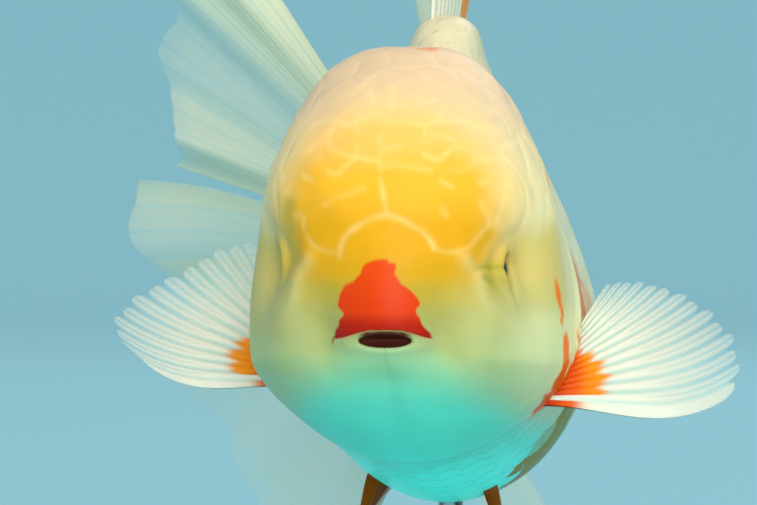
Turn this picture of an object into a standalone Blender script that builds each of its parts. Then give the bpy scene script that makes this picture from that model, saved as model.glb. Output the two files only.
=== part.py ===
"""A fancy goldfish (oranda), life size, as a still model on a plain display stand.

The fish is worked out in its own straight frame, in millimetres: X to its left, Y back from the
snout, Z up from the level of the tail's root. posed() then bends it sideways along its spine and
sets it over the stand, whose underside is the ground.
"""

import math

import bmesh
import bpy
import numpy as np

MM = 0.001

# Sizes of the fish
BODY_LENGTH = 116.0
STALK_START = 99.0  # where the trunk ends and the tail stalk starts
DOME_LENGTH = 30.0  # from the lips to the widest ring of the head
MOUTH_LEVEL = -13.6
GAP = 0.3  # left between neighbouring solids
FIN_THICKNESS = 0.7

# The body's outlines: (distance back from the snout, value)
BACK = ((30, 33.5), (34, 31.5), (38, 31.0), (44, 35.5), (52, 40.6), (62, 40.2), (76, 33.0),
        (90, 22.0), (104, 12.5), (112, 10.0), (116, 9.5))
BELLY = ((30, -36.0), (42, -41.0), (54, -43.2), (66, -42.0), (80, -33.5), (92, -22.5),
         (104, -13.5), (112, -10.5), (116, -10.0))
HALF_WIDTH = ((30, 26.0), (42, 26.2), (54, 26.2), (66, 24.2), (80, 17.6), (94, 10.0),
              (106, 5.2), (116, 3.4))
WIDEST_LEVEL = ((30, -16.0), (54, -11.0), (80, -4.0), (116, -0.5))
# Powers of the egg-shaped rings: 2 is round, more is square, less is a tented ridge
UPPER_RISE = ((30, 2.3), (36, 2.1), (46, 1.45), (70, 1.4), (90, 1.7), (116, 2.0))
UPPER_SPREAD = ((30, 2.3), (36, 1.9), (46, 1.22), (70, 1.2), (90, 1.6), (116, 2.0))
LOWER_POWER = ((30, 1.55), (42, 1.65), (54, 1.95), (70, 2.1), (116, 2.1))
# The fleshy base of the dorsal fin, a rounded keel along the back: its half width
KEEL = ((30, 0.3), (40, 0.6), (48, 5.0), (70, 4.4), (90, 2.4), (116, 1.0))

# The head's dome: how flat it is ahead (flat) and how it turns into the sides (turn), by direction
DOME_FLAT = ((0, 3.0), (90, 2.1), (180, 1.55))
DOME_TURN = ((0, 2.1), (90, 2.0), (180, 1.12))
DOME_SHARE = 0.42  # share of the rings, from the mouth to the tail, that make the dome

# Swellings and hollows of the head: (side, distance back, level), radius, height; on both sides
SWELLINGS = (
    ((0, 0, -9.0), 7.5, 2.4),  # muzzle
    ((0, 2, 1.5), 8.5, 1.5),  # lobe over the nose
    ((0, 5, 17.0), 15.0, 1.0),  # forehead of the wen
    ((11, 6, 12.0), 9.0, 0.9),
    ((21.0, 13.0, -2.0), 6.4, -4.4),  # eye hollow
    ((17, 12, 9.0), 8.0, 1.0),  # brow
    ((15, 9, -13.0), 8.0, 1.5),  # cheek pad
    ((9.5, 2, -14.0), 3.6, -1.2),  # fold beside the mouth
    ((24, 27, -14.0), 10.0, 0.9),  # jowl
    ((11, 24, 30.0), 9.0, 0.7),  # back of the wen
)
HEAD_CENTRE = (0.0, 24.0, -6.0)
EYE_PLACE = (16.6, 14.8, -2.2)
EYE_RADIUS = 4.2
EYE_TILT = 0.7  # how much lower the left eye is than the middle, and the right eye higher

# Where the head and gill covers end, by level: (level, distance back)
GILL_LINE = ((-60, 14), (-40, 22), (-25, 33), (-6, 42.5), (12, 41), (33, 36), (60, 34))
GILL_MIDDLE = -12.0
GILL_REACH = 19.0  # from the middle of a gill cover to its top and bottom
GILL_COVER_WIDTH = 15.0

# The bend of the spine: (distance back, degrees turned towards the fish's left)
SPINE_TURN = ((0, 6.5), (25, 10.0), (42, 16.0), (60, 8.0), (80, -2.0), (104, -13.0),
              (130, -18.0))
STAND_SHIFT = 60.0  # distance back of the stand's middle, which the spine passes over
AXIS_HEIGHT = 90.0  # the tail root's level above the ground

# Fins: a station's first number runs across the fin, from its leading ray (0) to its last (1)
PECTORALS = {  # root, (side, back, level) below and above; rise and length of the rays
    1: dict(
        low=(20.0, 33, -25.0), high=(23.5, 41, -16.5), forward=80,
        rise=((0, 0), (0.25, 14), (0.6, 34), (1, 58)),
        length=((0, 33.5), (0.2, 33.5), (0.45, 28.5), (0.7, 21.5), (1, 13)),
    ),
    -1: dict(
        low=(20.0, 34, -22.5), high=(23.5, 42, -14.5), forward=92,
        rise=((0, 5), (0.2, 12), (0.4, 20), (0.6, 32), (0.8, 50), (1, 72)),
        length=((0, 28), (0.2, 33.5), (0.4, 32.5), (0.6, 27.5), (0.8, 22.5), (1, 16.5)),
    ),
}
PELVICS = {  # root, (side, back, level) in front and behind; degrees out sideways
    1: dict(front=(8.7, 48.0, -38.6), rear=(6.8, 55.5, -39.4), sideways=((0, 12), (1, 6))),
    -1: dict(front=(11.3, 49.0, -37.5), rear=(9.0, 56.0, -38.5), sideways=((0, 48), (1, 22))),
}
TAIL_LOBES = {  # rise, flare sideways and length of the rays, from the free edge to the fork
    "upper": dict(
        sign=1,
        arch=0.0,
        rise=((0, 52), (0.35, 40), (0.7, 27), (1, 15.5)),
        flare=((0, 30), (0.25, 28), (0.6, 28), (1, 30)),
        length=((0, 78), (0.3, 84), (0.62, 76), (0.72, 70), (0.82, 60.5), (0.91, 59.5), (1, 65)),
    ),
    "lower": dict(
        sign=-1,
        arch=3.4,
        rise=((0, -64), (0.2, -50), (0.4, -34), (0.55, -22), (0.75, -5), (1, 13)),
        flare=((0, 26), (0.2, 33), (0.5, 35), (0.8, 31), (1, 36)),
        length=((0, 56), (0.2, 65), (0.4, 62), (0.55, 70), (0.75, 61), (0.92, 69), (1, 69)),
    ),
}
# Degrees that the tail swings to the fish's right beyond the spine, by the rise of its rays
TAIL_SWING = ((-64, -17), (-50, -14.5), (-20, -4), (0, 0), (35, 6.5), (55, 8))
TAIL_WAVE = 5.0  # degrees of the broad folds, and of the ripples below, at the margin
TAIL_RIPPLE = 2.5

# The stand
BASE_LENGTH = 124.0
BASE_WIDTH = 84.0
BASE_THICKNESS = 9.0
ROD_RADIUS = 2.2

COLOURS = {  # colour, roughness, metallic
    "white_flesh": ((0.86, 0.83, 0.66), 0.35, 0.0),
    "yellow_wen": ((0.95, 0.62, 0.13), 0.45, 0.0),
    "red_muzzle": ((0.80, 0.10, 0.01), 0.40, 0.0),
    "fin_membrane": ((0.80, 0.84, 0.74), 0.35, 0.0),
    "dark_eye": ((0.02, 0.02, 0.02), 0.10, 0.0),
    "walnut": ((0.16, 0.08, 0.04), 0.45, 0.0),
    "steel": ((0.60, 0.60, 0.60), 0.28, 1.0),
}


# ---- shape functions, all on arrays -------------------------------------------------------------


def smooth(stations, at):
    """A smooth curve through the stations: cubic pieces whose slopes are those of the neighbours."""
    place, value = np.array(stations, float).T
    slope = np.gradient(value, place)
    i = np.clip(np.searchsorted(place, at) - 1, 0, len(place) - 2)
    gap = place[i + 1] - place[i]
    t = np.clip((at - place[i]) / gap, 0, 1)
    start = (1 + 2 * t) * (1 - t) ** 2 * value[i] + t * (1 - t) ** 2 * gap * slope[i]
    end = t * t * (3 - 2 * t) * value[i + 1] + t * t * (t - 1) * gap * slope[i + 1]
    return start + end


def power(value, exponent):
    """The value to a power, with its sign kept."""
    return np.sign(value) * np.abs(value) ** exponent


def ring(back, turn):
    """(x, z) of the body's cross-section at a distance back; turn is 0 on the back, pi on the belly.

    Each half of the ring is a superellipse. The keel under the dorsal fin widens its top.
    """
    up = np.cos(turn) > 0
    wide = smooth(WIDEST_LEVEL, back)
    reach = np.where(up, smooth(BACK, back) - wide, wide - smooth(BELLY, back))
    low = smooth(LOWER_POWER, back)
    rise = np.where(up, smooth(UPPER_RISE, back), low)
    spread = np.where(up, smooth(UPPER_SPREAD, back), low)
    side = smooth(HALF_WIDTH, back) * np.abs(np.sin(turn)) ** (2 / spread)
    height = power(np.cos(turn), 2 / rise)
    keel = smooth(KEEL, back) * np.sqrt(1 - np.clip(height, 0, 1) ** 24) * np.where(up, 1, 0)
    side = (side**4 + keel**4) ** 0.25
    return np.sign(np.sin(turn)) * side, wide + reach * height


def body_surface(run, turn):
    """Points of the bare body. run goes from 0 at the mouth to 1 at the end of the tail stalk.

    The head is a superellipse dome over the ring at DOME_LENGTH, spread out from the mouth. Behind
    it the rings follow each other to the tail stalk, whose end is rounded.
    """
    spread = np.sin(np.clip(run / DOME_SHARE, 0, 1) * math.pi / 2)
    off_top = np.degrees(np.abs(turn))
    flat, bend = smooth(DOME_FLAT, off_top), smooth(DOME_TURN, off_top)
    dome_back = DOME_LENGTH * (1 - (1 - spread**flat) ** (1 / bend))
    rear = np.clip((run - DOME_SHARE) / (1 - DOME_SHARE), 0, 1)
    rounding = np.clip((rear - 0.94) / 0.06, 0, 1)
    trunk_back = DOME_LENGTH + (BODY_LENGTH - DOME_LENGTH) * np.minimum(rear / 0.94, 1) ** 0.94
    back = np.where(run < DOME_SHARE, dome_back, trunk_back + 2.0 * np.sin(rounding * math.pi / 2))
    x, z = ring(np.where(run < DOME_SHARE, DOME_LENGTH, trunk_back), turn)
    shrink = np.where(run < DOME_SHARE, spread, np.cos(rounding * math.pi / 2))
    level = np.where(run < DOME_SHARE, MOUTH_LEVEL, 0.0)
    return np.stack([x * shrink, back, level + (z - level) * shrink], -1)


def swollen(points):
    """The points moved outwards from the middle of the head by its swellings and hollows."""
    out = points - np.array(HEAD_CENTRE)
    out /= np.linalg.norm(out, axis=-1, keepdims=True)
    lift = np.zeros(points.shape[:-1])
    for (side, back, level), radius, height in SWELLINGS:
        for x in {side, -side}:
            away = np.linalg.norm(points - np.array((x, back, level)), axis=-1) / radius
            lift += height * np.exp(-(away**2))
    return points + out * lift[..., None]


def spine(back):
    """(sideways place, turn in radians) of the spine at a distance back from the snout."""
    steps = np.linspace(0, 240, 481)
    turns = np.radians(smooth(SPINE_TURN, steps))
    places = np.concatenate([[0], np.cumsum(np.tan(turns[:-1]) * np.diff(steps))])
    at = np.clip(back, 0, None)
    return np.interp(at, steps, places), np.interp(at, steps, turns)


def posed(points):
    """Bends points of the straight fish along its spine and sets them over the stand, in metres."""
    x, back, level = np.moveaxis(np.asarray(points, float), -1, 0)
    place, turn = spine(back)
    return MM * np.stack([
        place + x * np.cos(turn) - spine(STAND_SHIFT)[0],
        back - x * np.sin(turn) - STAND_SHIFT,
        level + AXIS_HEIGHT,
    ], -1)


def heading(sideways, rise):
    """A unit direction: straight back, turned sideways and raised by the two angles in degrees."""
    sideways, rise = np.radians(sideways), np.radians(rise)
    return np.stack([
        np.cos(rise) * np.sin(sideways),
        np.cos(rise) * np.cos(sideways),
        np.sin(rise),
    ], -1)


def mixed(first, last, share):
    """The point a share of the way from one point to another."""
    return np.array(first, float) + share[..., None] * (np.array(last, float) - np.array(first))


def mirrored(point, side):
    """A point of the left side, or the same point on the right where side is -1."""
    return point[0] * side, point[1], point[2]


def tail_lobe(across, along, side, lobe):
    """A quarter of the tail, with broad folds and ripples that grow towards its margin."""
    rise = smooth(lobe["rise"], across)
    folds = TAIL_WAVE * np.sin(2 * math.pi * (1.6 * across + 0.1 * side)) * along**1.5
    folds += TAIL_RIPPLE * np.sin(2 * math.pi * (4.2 * across + 0.3 * side)) * along**2
    sideways = side * (smooth(lobe["flare"], across) * (0.9 + 0.15 * along) + folds)
    sideways -= smooth(TAIL_SWING, rise)
    sign = lobe["sign"]
    rise += lobe["arch"] * across**4 * np.sin(math.pi * along)
    root = mixed((side * 1.5, 111, sign * 7.5), (side * 1.5, 112, sign * 0.6), across)
    return root + heading(sideways, rise) * (smooth(lobe["length"], across) * along)[..., None]


def pectoral(across, along, side):
    """Rays spread from a slanting root; the leading one sags and curls up at its tip."""
    fin = PECTORALS[side]
    sag = (1 - across) ** 2 * (4 * along**4 - 7 * np.sin(math.pi * along))
    rise = smooth(fin["rise"], across) + sag
    sideways = fin["forward"] - 18 * across + 5 * np.sin(7 * across) * along
    root = mixed(mirrored(fin["low"], side), mirrored(fin["high"], side), across)
    return root + heading(side * sideways, rise) * (smooth(fin["length"], across) * along)[..., None]


def pelvic(across, along, side):
    """The left one hangs nearly straight down and the right one is held out."""
    fin = PELVICS[side]
    rise = smooth(((0, -62), (1, -28)), across)
    sideways = smooth(fin["sideways"], across) + 6 * np.sin(6 * across) * along
    length = smooth(((0, 29), (0.25, 32), (1, 17)), across)
    root = mixed(mirrored(fin["front"], side), mirrored(fin["rear"], side), across)
    return root + heading(side * sideways, rise) * (length * along)[..., None]


def anal(across, along, side):
    """One of the pair under the tail stalk."""
    rise = smooth(((0, -58), (1, -26)), across)
    sideways = smooth(((0, 26), (1, 12)), across) + 5 * np.sin(6 * across) * along
    length = smooth(((0, 24), (0.3, 26), (1, 15)), across)
    root = mixed((side * 3, 88, -21), (side * 3, 97, -15), across)
    return root + heading(side * sideways, rise) * (length * along)[..., None]


def dorsal(across, along):
    """Rays leaning back from the keel, the middle ones bent over to the left."""
    rise = smooth(((0, 78), (0.5, 60), (1, 40)), across) - 10 * along
    sideways = smooth(((0, 0), (0.4, 16), (1, 4)), across) * (0.4 + 0.6 * along)
    length = smooth(((0, 30), (0.12, 35), (0.6, 29), (1, 19)), across)
    root = mixed((-2, 51, 36), (2, 87, 22), across)
    root[..., 2] += 6 * np.sin(math.pi * across)
    return root + heading(sideways, rise) * (length * along)[..., None]


# ---- objects ------------------------------------------------------------------------------------


def clear_scene():
    for obj in list(bpy.data.objects):
        bpy.data.objects.remove(obj, do_unlink=True)


def collection(name):
    made = bpy.data.collections.new(name)
    bpy.context.scene.collection.children.link(made)
    return made


def material(name):
    found = bpy.data.materials.get(name)
    if found:
        return found
    colour, roughness, metallic = COLOURS[name]
    made = bpy.data.materials.new(name)
    made.use_nodes = True
    shader = made.node_tree.nodes["Principled BSDF"]
    shader.inputs["Base Color"].default_value = (*colour, 1)
    shader.inputs["Roughness"].default_value = roughness
    shader.inputs["Metallic"].default_value = metallic
    return made


def add_object(name, mesh, where, finish=None):
    obj = bpy.data.objects.new(name, mesh)
    where.objects.link(obj)
    if finish:
        mesh.materials.append(material(finish))
        mesh.shade_smooth()
    else:
        obj.hide_render = True
        obj.display_type = "WIRE"
    return obj


def mesh_from(name, build, shape):
    """A mesh made by a bmesh primitive, its points then set by shape, a function on an array."""
    bm = bmesh.new()
    build(bm)
    points = shape(np.array([v.co for v in bm.verts]))
    for vert, point in zip(bm.verts, points):
        vert.co = point
    bm.normal_update()
    bmesh.ops.recalc_face_normals(bm, faces=bm.faces)
    mesh = bpy.data.meshes.new(name)
    bm.to_mesh(mesh)
    bm.free()
    return mesh


def body_mesh(name, columns=32, rings=34):
    """A sphere whose poles are the mouth and the tail stalk's end, drawn out into the fish."""

    def shape(ball):
        run = np.arccos(np.clip(ball[:, 2], -1, 1)) / math.pi
        turn = np.arctan2(ball[:, 0], ball[:, 1])
        return posed(swollen(body_surface(run, turn)))

    return mesh_from(
        name,
        lambda bm: bmesh.ops.create_uvsphere(bm, u_segments=columns, v_segments=rings, radius=1),
        shape,
    )


def block(name, where, bounds, cuts=4):
    """A cutter: a cube of triangles whose points bounds() sends from 0..1 each way to the fish.

    Triangles stay flat, so two blocks a gap apart cut faces that are the same gap apart.
    """

    def build(bm):
        bmesh.ops.create_cube(bm, size=1)
        bmesh.ops.subdivide_edges(bm, edges=bm.edges, cuts=cuts, use_grid_fill=True)
        bmesh.ops.triangulate(bm, faces=bm.faces, quad_method="FIXED")

    mesh = mesh_from(name, build, lambda cube: posed(np.stack(bounds(*(cube.T + 0.5)), -1)))
    return add_object(name, mesh, where)


def ellipsoid(name, where, centre, radii, finish=None):
    """A ball drawn out to three radii, placed in the straight fish and posed with it."""
    mesh = mesh_from(
        name,
        lambda bm: bmesh.ops.create_uvsphere(bm, u_segments=14, v_segments=8, radius=1),
        lambda ball: posed(ball * np.array(radii) + np.array(centre)),
    )
    return add_object(name, mesh, where, finish)


def boolean(obj, operation, *others):
    for other in others:
        modifier = obj.modifiers.new(f"{operation.lower()}_{other.name}"[:60], "BOOLEAN")
        modifier.operation = operation
        modifier.object = other
        modifier.solver = "EXACT"


def fin(name, where, surface, columns, rows, keep_clear):
    """A fin: a grid laid out by its surface function, given thickness, ending at the skin."""
    mesh = mesh_from(
        name,
        lambda bm: bmesh.ops.create_grid(bm, x_segments=columns, y_segments=rows, size=0.5),
        lambda square: posed(surface(square[:, 0] + 0.5, square[:, 1] + 0.5)),
    )
    obj = add_object(name, mesh, where, "fin_membrane")
    solidify = obj.modifiers.new("thickness", "SOLIDIFY")
    solidify.thickness = FIN_THICKNESS * MM
    solidify.offset = 0
    boolean(obj, "DIFFERENCE", keep_clear)
    return obj


# ---- the fish -----------------------------------------------------------------------------------


def lerp(low, high, share):
    return low + (high - low) * share


def make_flesh(parts, cutters):
    """Head, wen, lips, gill covers, trunk and tail stalk: the whole body parted with thin cuts."""
    half = GAP / 2

    def up_to_gill_line(shift):
        def bounds(a, b, c):
            z = lerp(-60, 60, c)
            return lerp(-45, 45, a), lerp(-12, smooth(GILL_LINE, z) + shift, b), z

        return bounds

    def between(start, end):
        return lambda a, b, c: (lerp(-45, 45, a), lerp(start, end, b), lerp(-60, 60, c))

    def above_brow(shift):
        """Everything over the wen's lower edge, which rises from the nose to the sides."""

        def bounds(a, b, c):
            x = lerp(-45, 45, a)
            return x, lerp(-12, 70, b), lerp(0.5 + 9 * (x / 26) ** 2 + shift, 60, c)

        return bounds

    def gill_bounds(side, grow):
        """A crescent plate that ends at the gill line."""

        def bounds(a, b, c):
            z = lerp(GILL_MIDDLE - GILL_REACH - grow, GILL_MIDDLE + GILL_REACH + grow, c)
            width = GILL_COVER_WIDTH * (1 - 0.5 * ((z - GILL_MIDDLE) / GILL_REACH) ** 2)
            rear = smooth(GILL_LINE, z)
            return side * lerp(13 - grow, 45, a), lerp(rear - width - grow, 60, b), z

        return bounds

    head_block = block("head_block", cutters, up_to_gill_line(-half))
    head_room = block("head_room", cutters, up_to_gill_line(half))
    trunk_block = block("trunk_block", cutters, between(-12, STALK_START - half))
    stalk_block = block("stalk_block", cutters, between(STALK_START + half, 130))
    wen_block = block("wen_block", cutters, above_brow(half), 7)
    wen_room = block("wen_room", cutters, above_brow(-half), 7)
    lips_place = (0, 0.5, MOUTH_LEVEL - 0.4)
    lips_radii = np.array((8.6, 6.0, 4.6))
    lips_ball = ellipsoid("lips_ball", cutters, lips_place, lips_radii)
    lips_room = ellipsoid("lips_room", cutters, lips_place, lips_radii + GAP)
    throat = ellipsoid("throat", cutters, (0, 1, MOUTH_LEVEL), (4.2, 9, 1.3))
    side_words = ((-1, "right"), (1, "left"))
    eyes = {}
    for side, word in side_words:
        x, back, level = EYE_PLACE
        eyes[word] = (side * x, back, level - side * EYE_TILT)
    ball = np.full(3, EYE_RADIUS)
    sockets = [ellipsoid(f"socket_{w}", cutters, place, ball + GAP) for w, place in eyes.items()]

    def piece(name, finish, *steps):
        obj = add_object(name, body_mesh(name), parts, finish)
        for operation, cutter in steps:
            boolean(obj, operation, cutter)

    def keep(cutter):
        return "INTERSECT", cutter

    def cut(*found):
        return [("DIFFERENCE", cutter) for cutter in found]

    gill_rooms = []
    for side, word in side_words:
        gill_block = block(f"gill_block_{word}", cutters, gill_bounds(side, 0))
        gill_rooms.append(block(f"gill_room_{word}", cutters, gill_bounds(side, GAP)))
        name = f"gill_cover_{word}"
        piece(name, "white_flesh", keep(head_block), keep(gill_block), *cut(wen_room))
        ellipsoid(f"eye_{word}", parts, eyes[word], ball, "dark_eye")
    piece("head", "white_flesh", keep(head_block),
          *cut(wen_room, lips_room, throat, *sockets, *gill_rooms))
    piece("wen", "yellow_wen", keep(head_block), keep(wen_block), *cut(*sockets))
    piece("lips", "red_muzzle", keep(lips_ball), *cut(throat, wen_room))
    piece("trunk", "white_flesh", keep(trunk_block), *cut(head_room))
    piece("tail_stalk", "white_flesh", keep(stalk_block))


def make_fins(parts, cutters):
    clear = add_object("body_room", body_mesh("body_room"), cutters)
    displace = clear.modifiers.new("clearance", "DISPLACE")
    displace.strength = GAP * MM
    displace.mid_level = 0
    for side, word in ((-1, "right"), (1, "left")):
        fin(f"pectoral_fin_{word}", parts, lambda u, v: pectoral(u, v, side), 12, 5, clear)
        fin(f"pelvic_fin_{word}", parts, lambda u, v: pelvic(u, v, side), 8, 4, clear)
        fin(f"anal_fin_{word}", parts, lambda u, v: anal(u, v, side), 7, 4, clear)
        for name, lobe in TAIL_LOBES.items():
            fin(f"tail_{name}_{word}", parts, lambda u, v: tail_lobe(u, v, side, lobe), 15, 7, clear)
    fin("dorsal_fin", parts, dorsal, 10, 5, clear)


# ---- the stand ----------------------------------------------------------------------------------


def make_stand(parts, cutters):
    """A rounded base and the one rod that rises from its middle to the belly."""

    def base_shape(disc):
        """A superellipse plan of the base's length and width."""
        around = np.arctan2(disc[:, 1], disc[:, 0])
        reach = np.linalg.norm(disc[:, :2], axis=1)
        return MM * np.stack([
            reach * BASE_WIDTH / 2 * power(np.cos(around), 0.8),
            reach * BASE_LENGTH / 2 * power(np.sin(around), 0.8),
            (disc[:, 2] + 0.5) * BASE_THICKNESS,
        ], -1)

    def rod_shape(drum):
        foot = BASE_THICKNESS + GAP
        height = AXIS_HEIGHT - 30 - foot
        return MM * np.stack([
            drum[:, 0] * ROD_RADIUS,
            drum[:, 1] * ROD_RADIUS,
            (drum[:, 2] + 0.5) * height + foot,
        ], -1)

    def drum(segments):
        return lambda bm: bmesh.ops.create_cone(
            bm, cap_ends=True, segments=segments, radius1=1, radius2=1, depth=1)

    base = add_object("stand_base", mesh_from("stand_base", drum(28), base_shape), parts, "walnut")
    bevel = base.modifiers.new("rounded_edge", "BEVEL")
    bevel.width = 1.6 * MM
    bevel.segments = 2
    bevel.limit_method = "ANGLE"
    belly = add_object("belly_room", body_mesh("belly_room"), cutters)
    belly.location.z = -GAP * MM
    rod = add_object("stand_rod", mesh_from("stand_rod", drum(16), rod_shape), parts, "steel")
    boolean(rod, "DIFFERENCE", belly)


def main():
    clear_scene()
    parts = collection("goldfish")
    cutters = collection("cutters")
    make_flesh(parts, cutters)
    make_fins(parts, cutters)
    make_stand(parts, cutters)


main()
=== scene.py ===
"""The looks of a fancy goldfish (an oranda), life size, on a plain display stand.

The fish is worked out straight, in millimetres: X to its left, Y back from the snout, Z up from the
level of the tail's root. posed() bends it along its spine and sets it over the stand, in metres.
"""

import math

import bpy
import numpy as np
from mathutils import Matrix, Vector


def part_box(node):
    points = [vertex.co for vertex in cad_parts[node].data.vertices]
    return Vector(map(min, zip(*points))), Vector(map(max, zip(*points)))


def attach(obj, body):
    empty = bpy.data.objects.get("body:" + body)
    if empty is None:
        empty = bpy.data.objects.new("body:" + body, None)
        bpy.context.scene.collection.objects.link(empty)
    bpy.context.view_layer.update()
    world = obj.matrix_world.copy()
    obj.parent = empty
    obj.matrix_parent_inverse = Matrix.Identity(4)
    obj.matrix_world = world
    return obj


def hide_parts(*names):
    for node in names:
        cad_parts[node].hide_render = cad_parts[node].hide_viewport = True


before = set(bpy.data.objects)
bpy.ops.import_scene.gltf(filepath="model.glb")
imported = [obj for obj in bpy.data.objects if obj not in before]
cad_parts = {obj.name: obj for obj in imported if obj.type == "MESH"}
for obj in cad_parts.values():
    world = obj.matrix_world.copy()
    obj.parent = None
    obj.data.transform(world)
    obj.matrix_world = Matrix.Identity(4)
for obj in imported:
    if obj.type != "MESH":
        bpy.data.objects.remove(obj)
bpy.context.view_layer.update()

MM = 0.001
TURN = 2 * math.pi

# ---- sizes of the fish, as in the part's source ---------------------------------------------------

BODY_LENGTH = 116.0
DOME_LENGTH = 30.0
DOME_SHARE = 0.42
MOUTH_LEVEL = -13.6
BACK = ((30, 33.5), (34, 31.5), (38, 31.0), (44, 35.5), (52, 40.6), (62, 40.2), (76, 33.0),
        (90, 22.0), (104, 12.5), (112, 10.0), (116, 9.5))
BELLY = ((30, -36.0), (42, -41.0), (54, -43.2), (66, -42.0), (80, -33.5), (92, -22.5),
         (104, -13.5), (112, -10.5), (116, -10.0))
HALF_WIDTH = ((30, 26.0), (42, 26.2), (54, 26.2), (66, 24.2), (80, 17.6), (94, 10.0),
              (106, 5.2), (116, 3.4))
WIDEST_LEVEL = ((30, -16.0), (54, -11.0), (80, -4.0), (116, -0.5))
UPPER_RISE = ((30, 2.3), (36, 2.1), (46, 1.45), (70, 1.4), (90, 1.7), (116, 2.0))
UPPER_SPREAD = ((30, 2.3), (36, 1.9), (46, 1.22), (70, 1.2), (90, 1.6), (116, 2.0))
LOWER_POWER = ((30, 1.55), (42, 1.65), (54, 1.95), (70, 2.1), (116, 2.1))
KEEL = ((30, 0.3), (40, 0.6), (48, 5.0), (70, 4.4), (90, 2.4), (116, 1.0))
DOME_FLAT = ((0, 3.0), (90, 2.1), (180, 1.55))
DOME_TURN = ((0, 2.1), (90, 2.0), (180, 1.12))
SWELLINGS = (  # (side, distance back, level), radius, height; on both sides
    ((0, 0, -9.0), 7.5, 2.4),  # muzzle
    ((0, 2, 1.5), 8.5, 1.5),  # lobe over the nose
    ((0, 5, 17.0), 15.0, 1.0),  # forehead of the hood
    ((11, 6, 12.0), 9.0, 0.9),
    ((21.0, 13.0, -2.0), 6.4, -4.4),  # eye hollow
    ((17, 12, 9.0), 8.0, 1.0),  # brow
    ((15, 9, -13.0), 8.0, 1.5),  # cheek pad
    ((9.5, 2, -14.0), 3.6, -1.2),  # fold beside the mouth
    ((24, 27, -14.0), 10.0, 0.9),  # jowl
    ((11, 24, 30.0), 9.0, 0.7),  # back of the hood
)
HEAD_CENTRE = (0.0, 24.0, -6.0)
EYE_PLACE = (16.6, 14.8, -2.2)
EYE_TILT = 0.7
GILL_MIDDLE = -12.0  # level of the middle of a gill cover's edge
GILL_LINE = ((-60, 14), (-40, 22), (-25, 33), (-6, 42.5), (12, 41), (33, 36), (60, 34))
SPINE_TURN = ((0, 6.5), (25, 10.0), (42, 16.0), (60, 8.0), (80, -2.0), (104, -13.0),
              (130, -18.0))
STALK_ROUNDING = 0.94  # share of the run behind the dome that ends where the stalk's end rounds off
STAND_SHIFT = 60.0  # distance back of the stand's middle
AXIS_HEIGHT = 90.0  # the tail root's level above the ground
PECTORALS = {
    1: dict(
        low=(20.0, 33, -25.0), high=(23.5, 41, -16.5), forward=80,
        rise=((0, 0), (0.25, 14), (0.6, 34), (1, 58)),
        length=((0, 33.5), (0.2, 33.5), (0.45, 28.5), (0.7, 21.5), (1, 13)),
    ),
    -1: dict(
        low=(20.0, 34, -22.5), high=(23.5, 42, -14.5), forward=92,
        rise=((0, 5), (0.2, 12), (0.4, 20), (0.6, 32), (0.8, 50), (1, 72)),
        length=((0, 28), (0.2, 33.5), (0.4, 32.5), (0.6, 27.5), (0.8, 22.5), (1, 16.5)),
    ),
}
PELVICS = {
    1: dict(front=(8.7, 48.0, -38.6), rear=(6.8, 55.5, -39.4), sideways=((0, 12), (1, 6))),
    -1: dict(front=(11.3, 49.0, -37.5), rear=(9.0, 56.0, -38.5), sideways=((0, 48), (1, 22))),
}
TAIL_LOBES = {
    "upper": dict(
        sign=1,
        arch=0.0,
        rise=((0, 52), (0.35, 40), (0.7, 27), (1, 15.5)),
        flare=((0, 30), (0.25, 28), (0.6, 28), (1, 30)),
        length=((0, 78), (0.3, 84), (0.62, 76), (0.72, 70), (0.82, 60.5), (0.91, 59.5), (1, 65)),
    ),
    "lower": dict(
        sign=-1,
        arch=3.4,
        rise=((0, -64), (0.2, -50), (0.4, -34), (0.55, -22), (0.75, -5), (1, 13)),
        flare=((0, 26), (0.2, 33), (0.5, 35), (0.8, 31), (1, 36)),
        length=((0, 56), (0.2, 65), (0.4, 62), (0.55, 70), (0.75, 61), (0.92, 69), (1, 69)),
    ),
}
TAIL_SWING = ((-64, -17), (-50, -14.5), (-20, -4), (0, 0), (35, 6.5), (55, 8))
TAIL_WAVE = 5.0
TAIL_RIPPLE = 2.5
BASE_LENGTH = 124.0
BASE_WIDTH = 84.0
BASE_THICKNESS = 9.0
ROD_RADIUS = 2.2

# ---- sizes of the finer shapes ------------------------------------------------------------------

COAT_DEPTH = 0.35  # how far the skin lies inside the solids under the scales
MOUTH_HALF_WIDTH = 4.1
MOUTH_CORNER_LEVEL = -13.4
MOUTH_DROP = 1.0  # from the corners' level down to the lower lip
EYE_SEAT = (13.9, 12.2)  # (side, distance back) of the eyes in their lids, in behind the solids' place
EYE_BALL = 3.9
EYE_LOOK = 4.0  # degrees that each eye looks ahead of straight sideways
LIP_SHARE = 0.30  # share of the dome, from the mouth, over which the rings turn into lips
GILL_REACH = 17.0  # from the middle of a gill cover's edge to where it fades above and below

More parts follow.
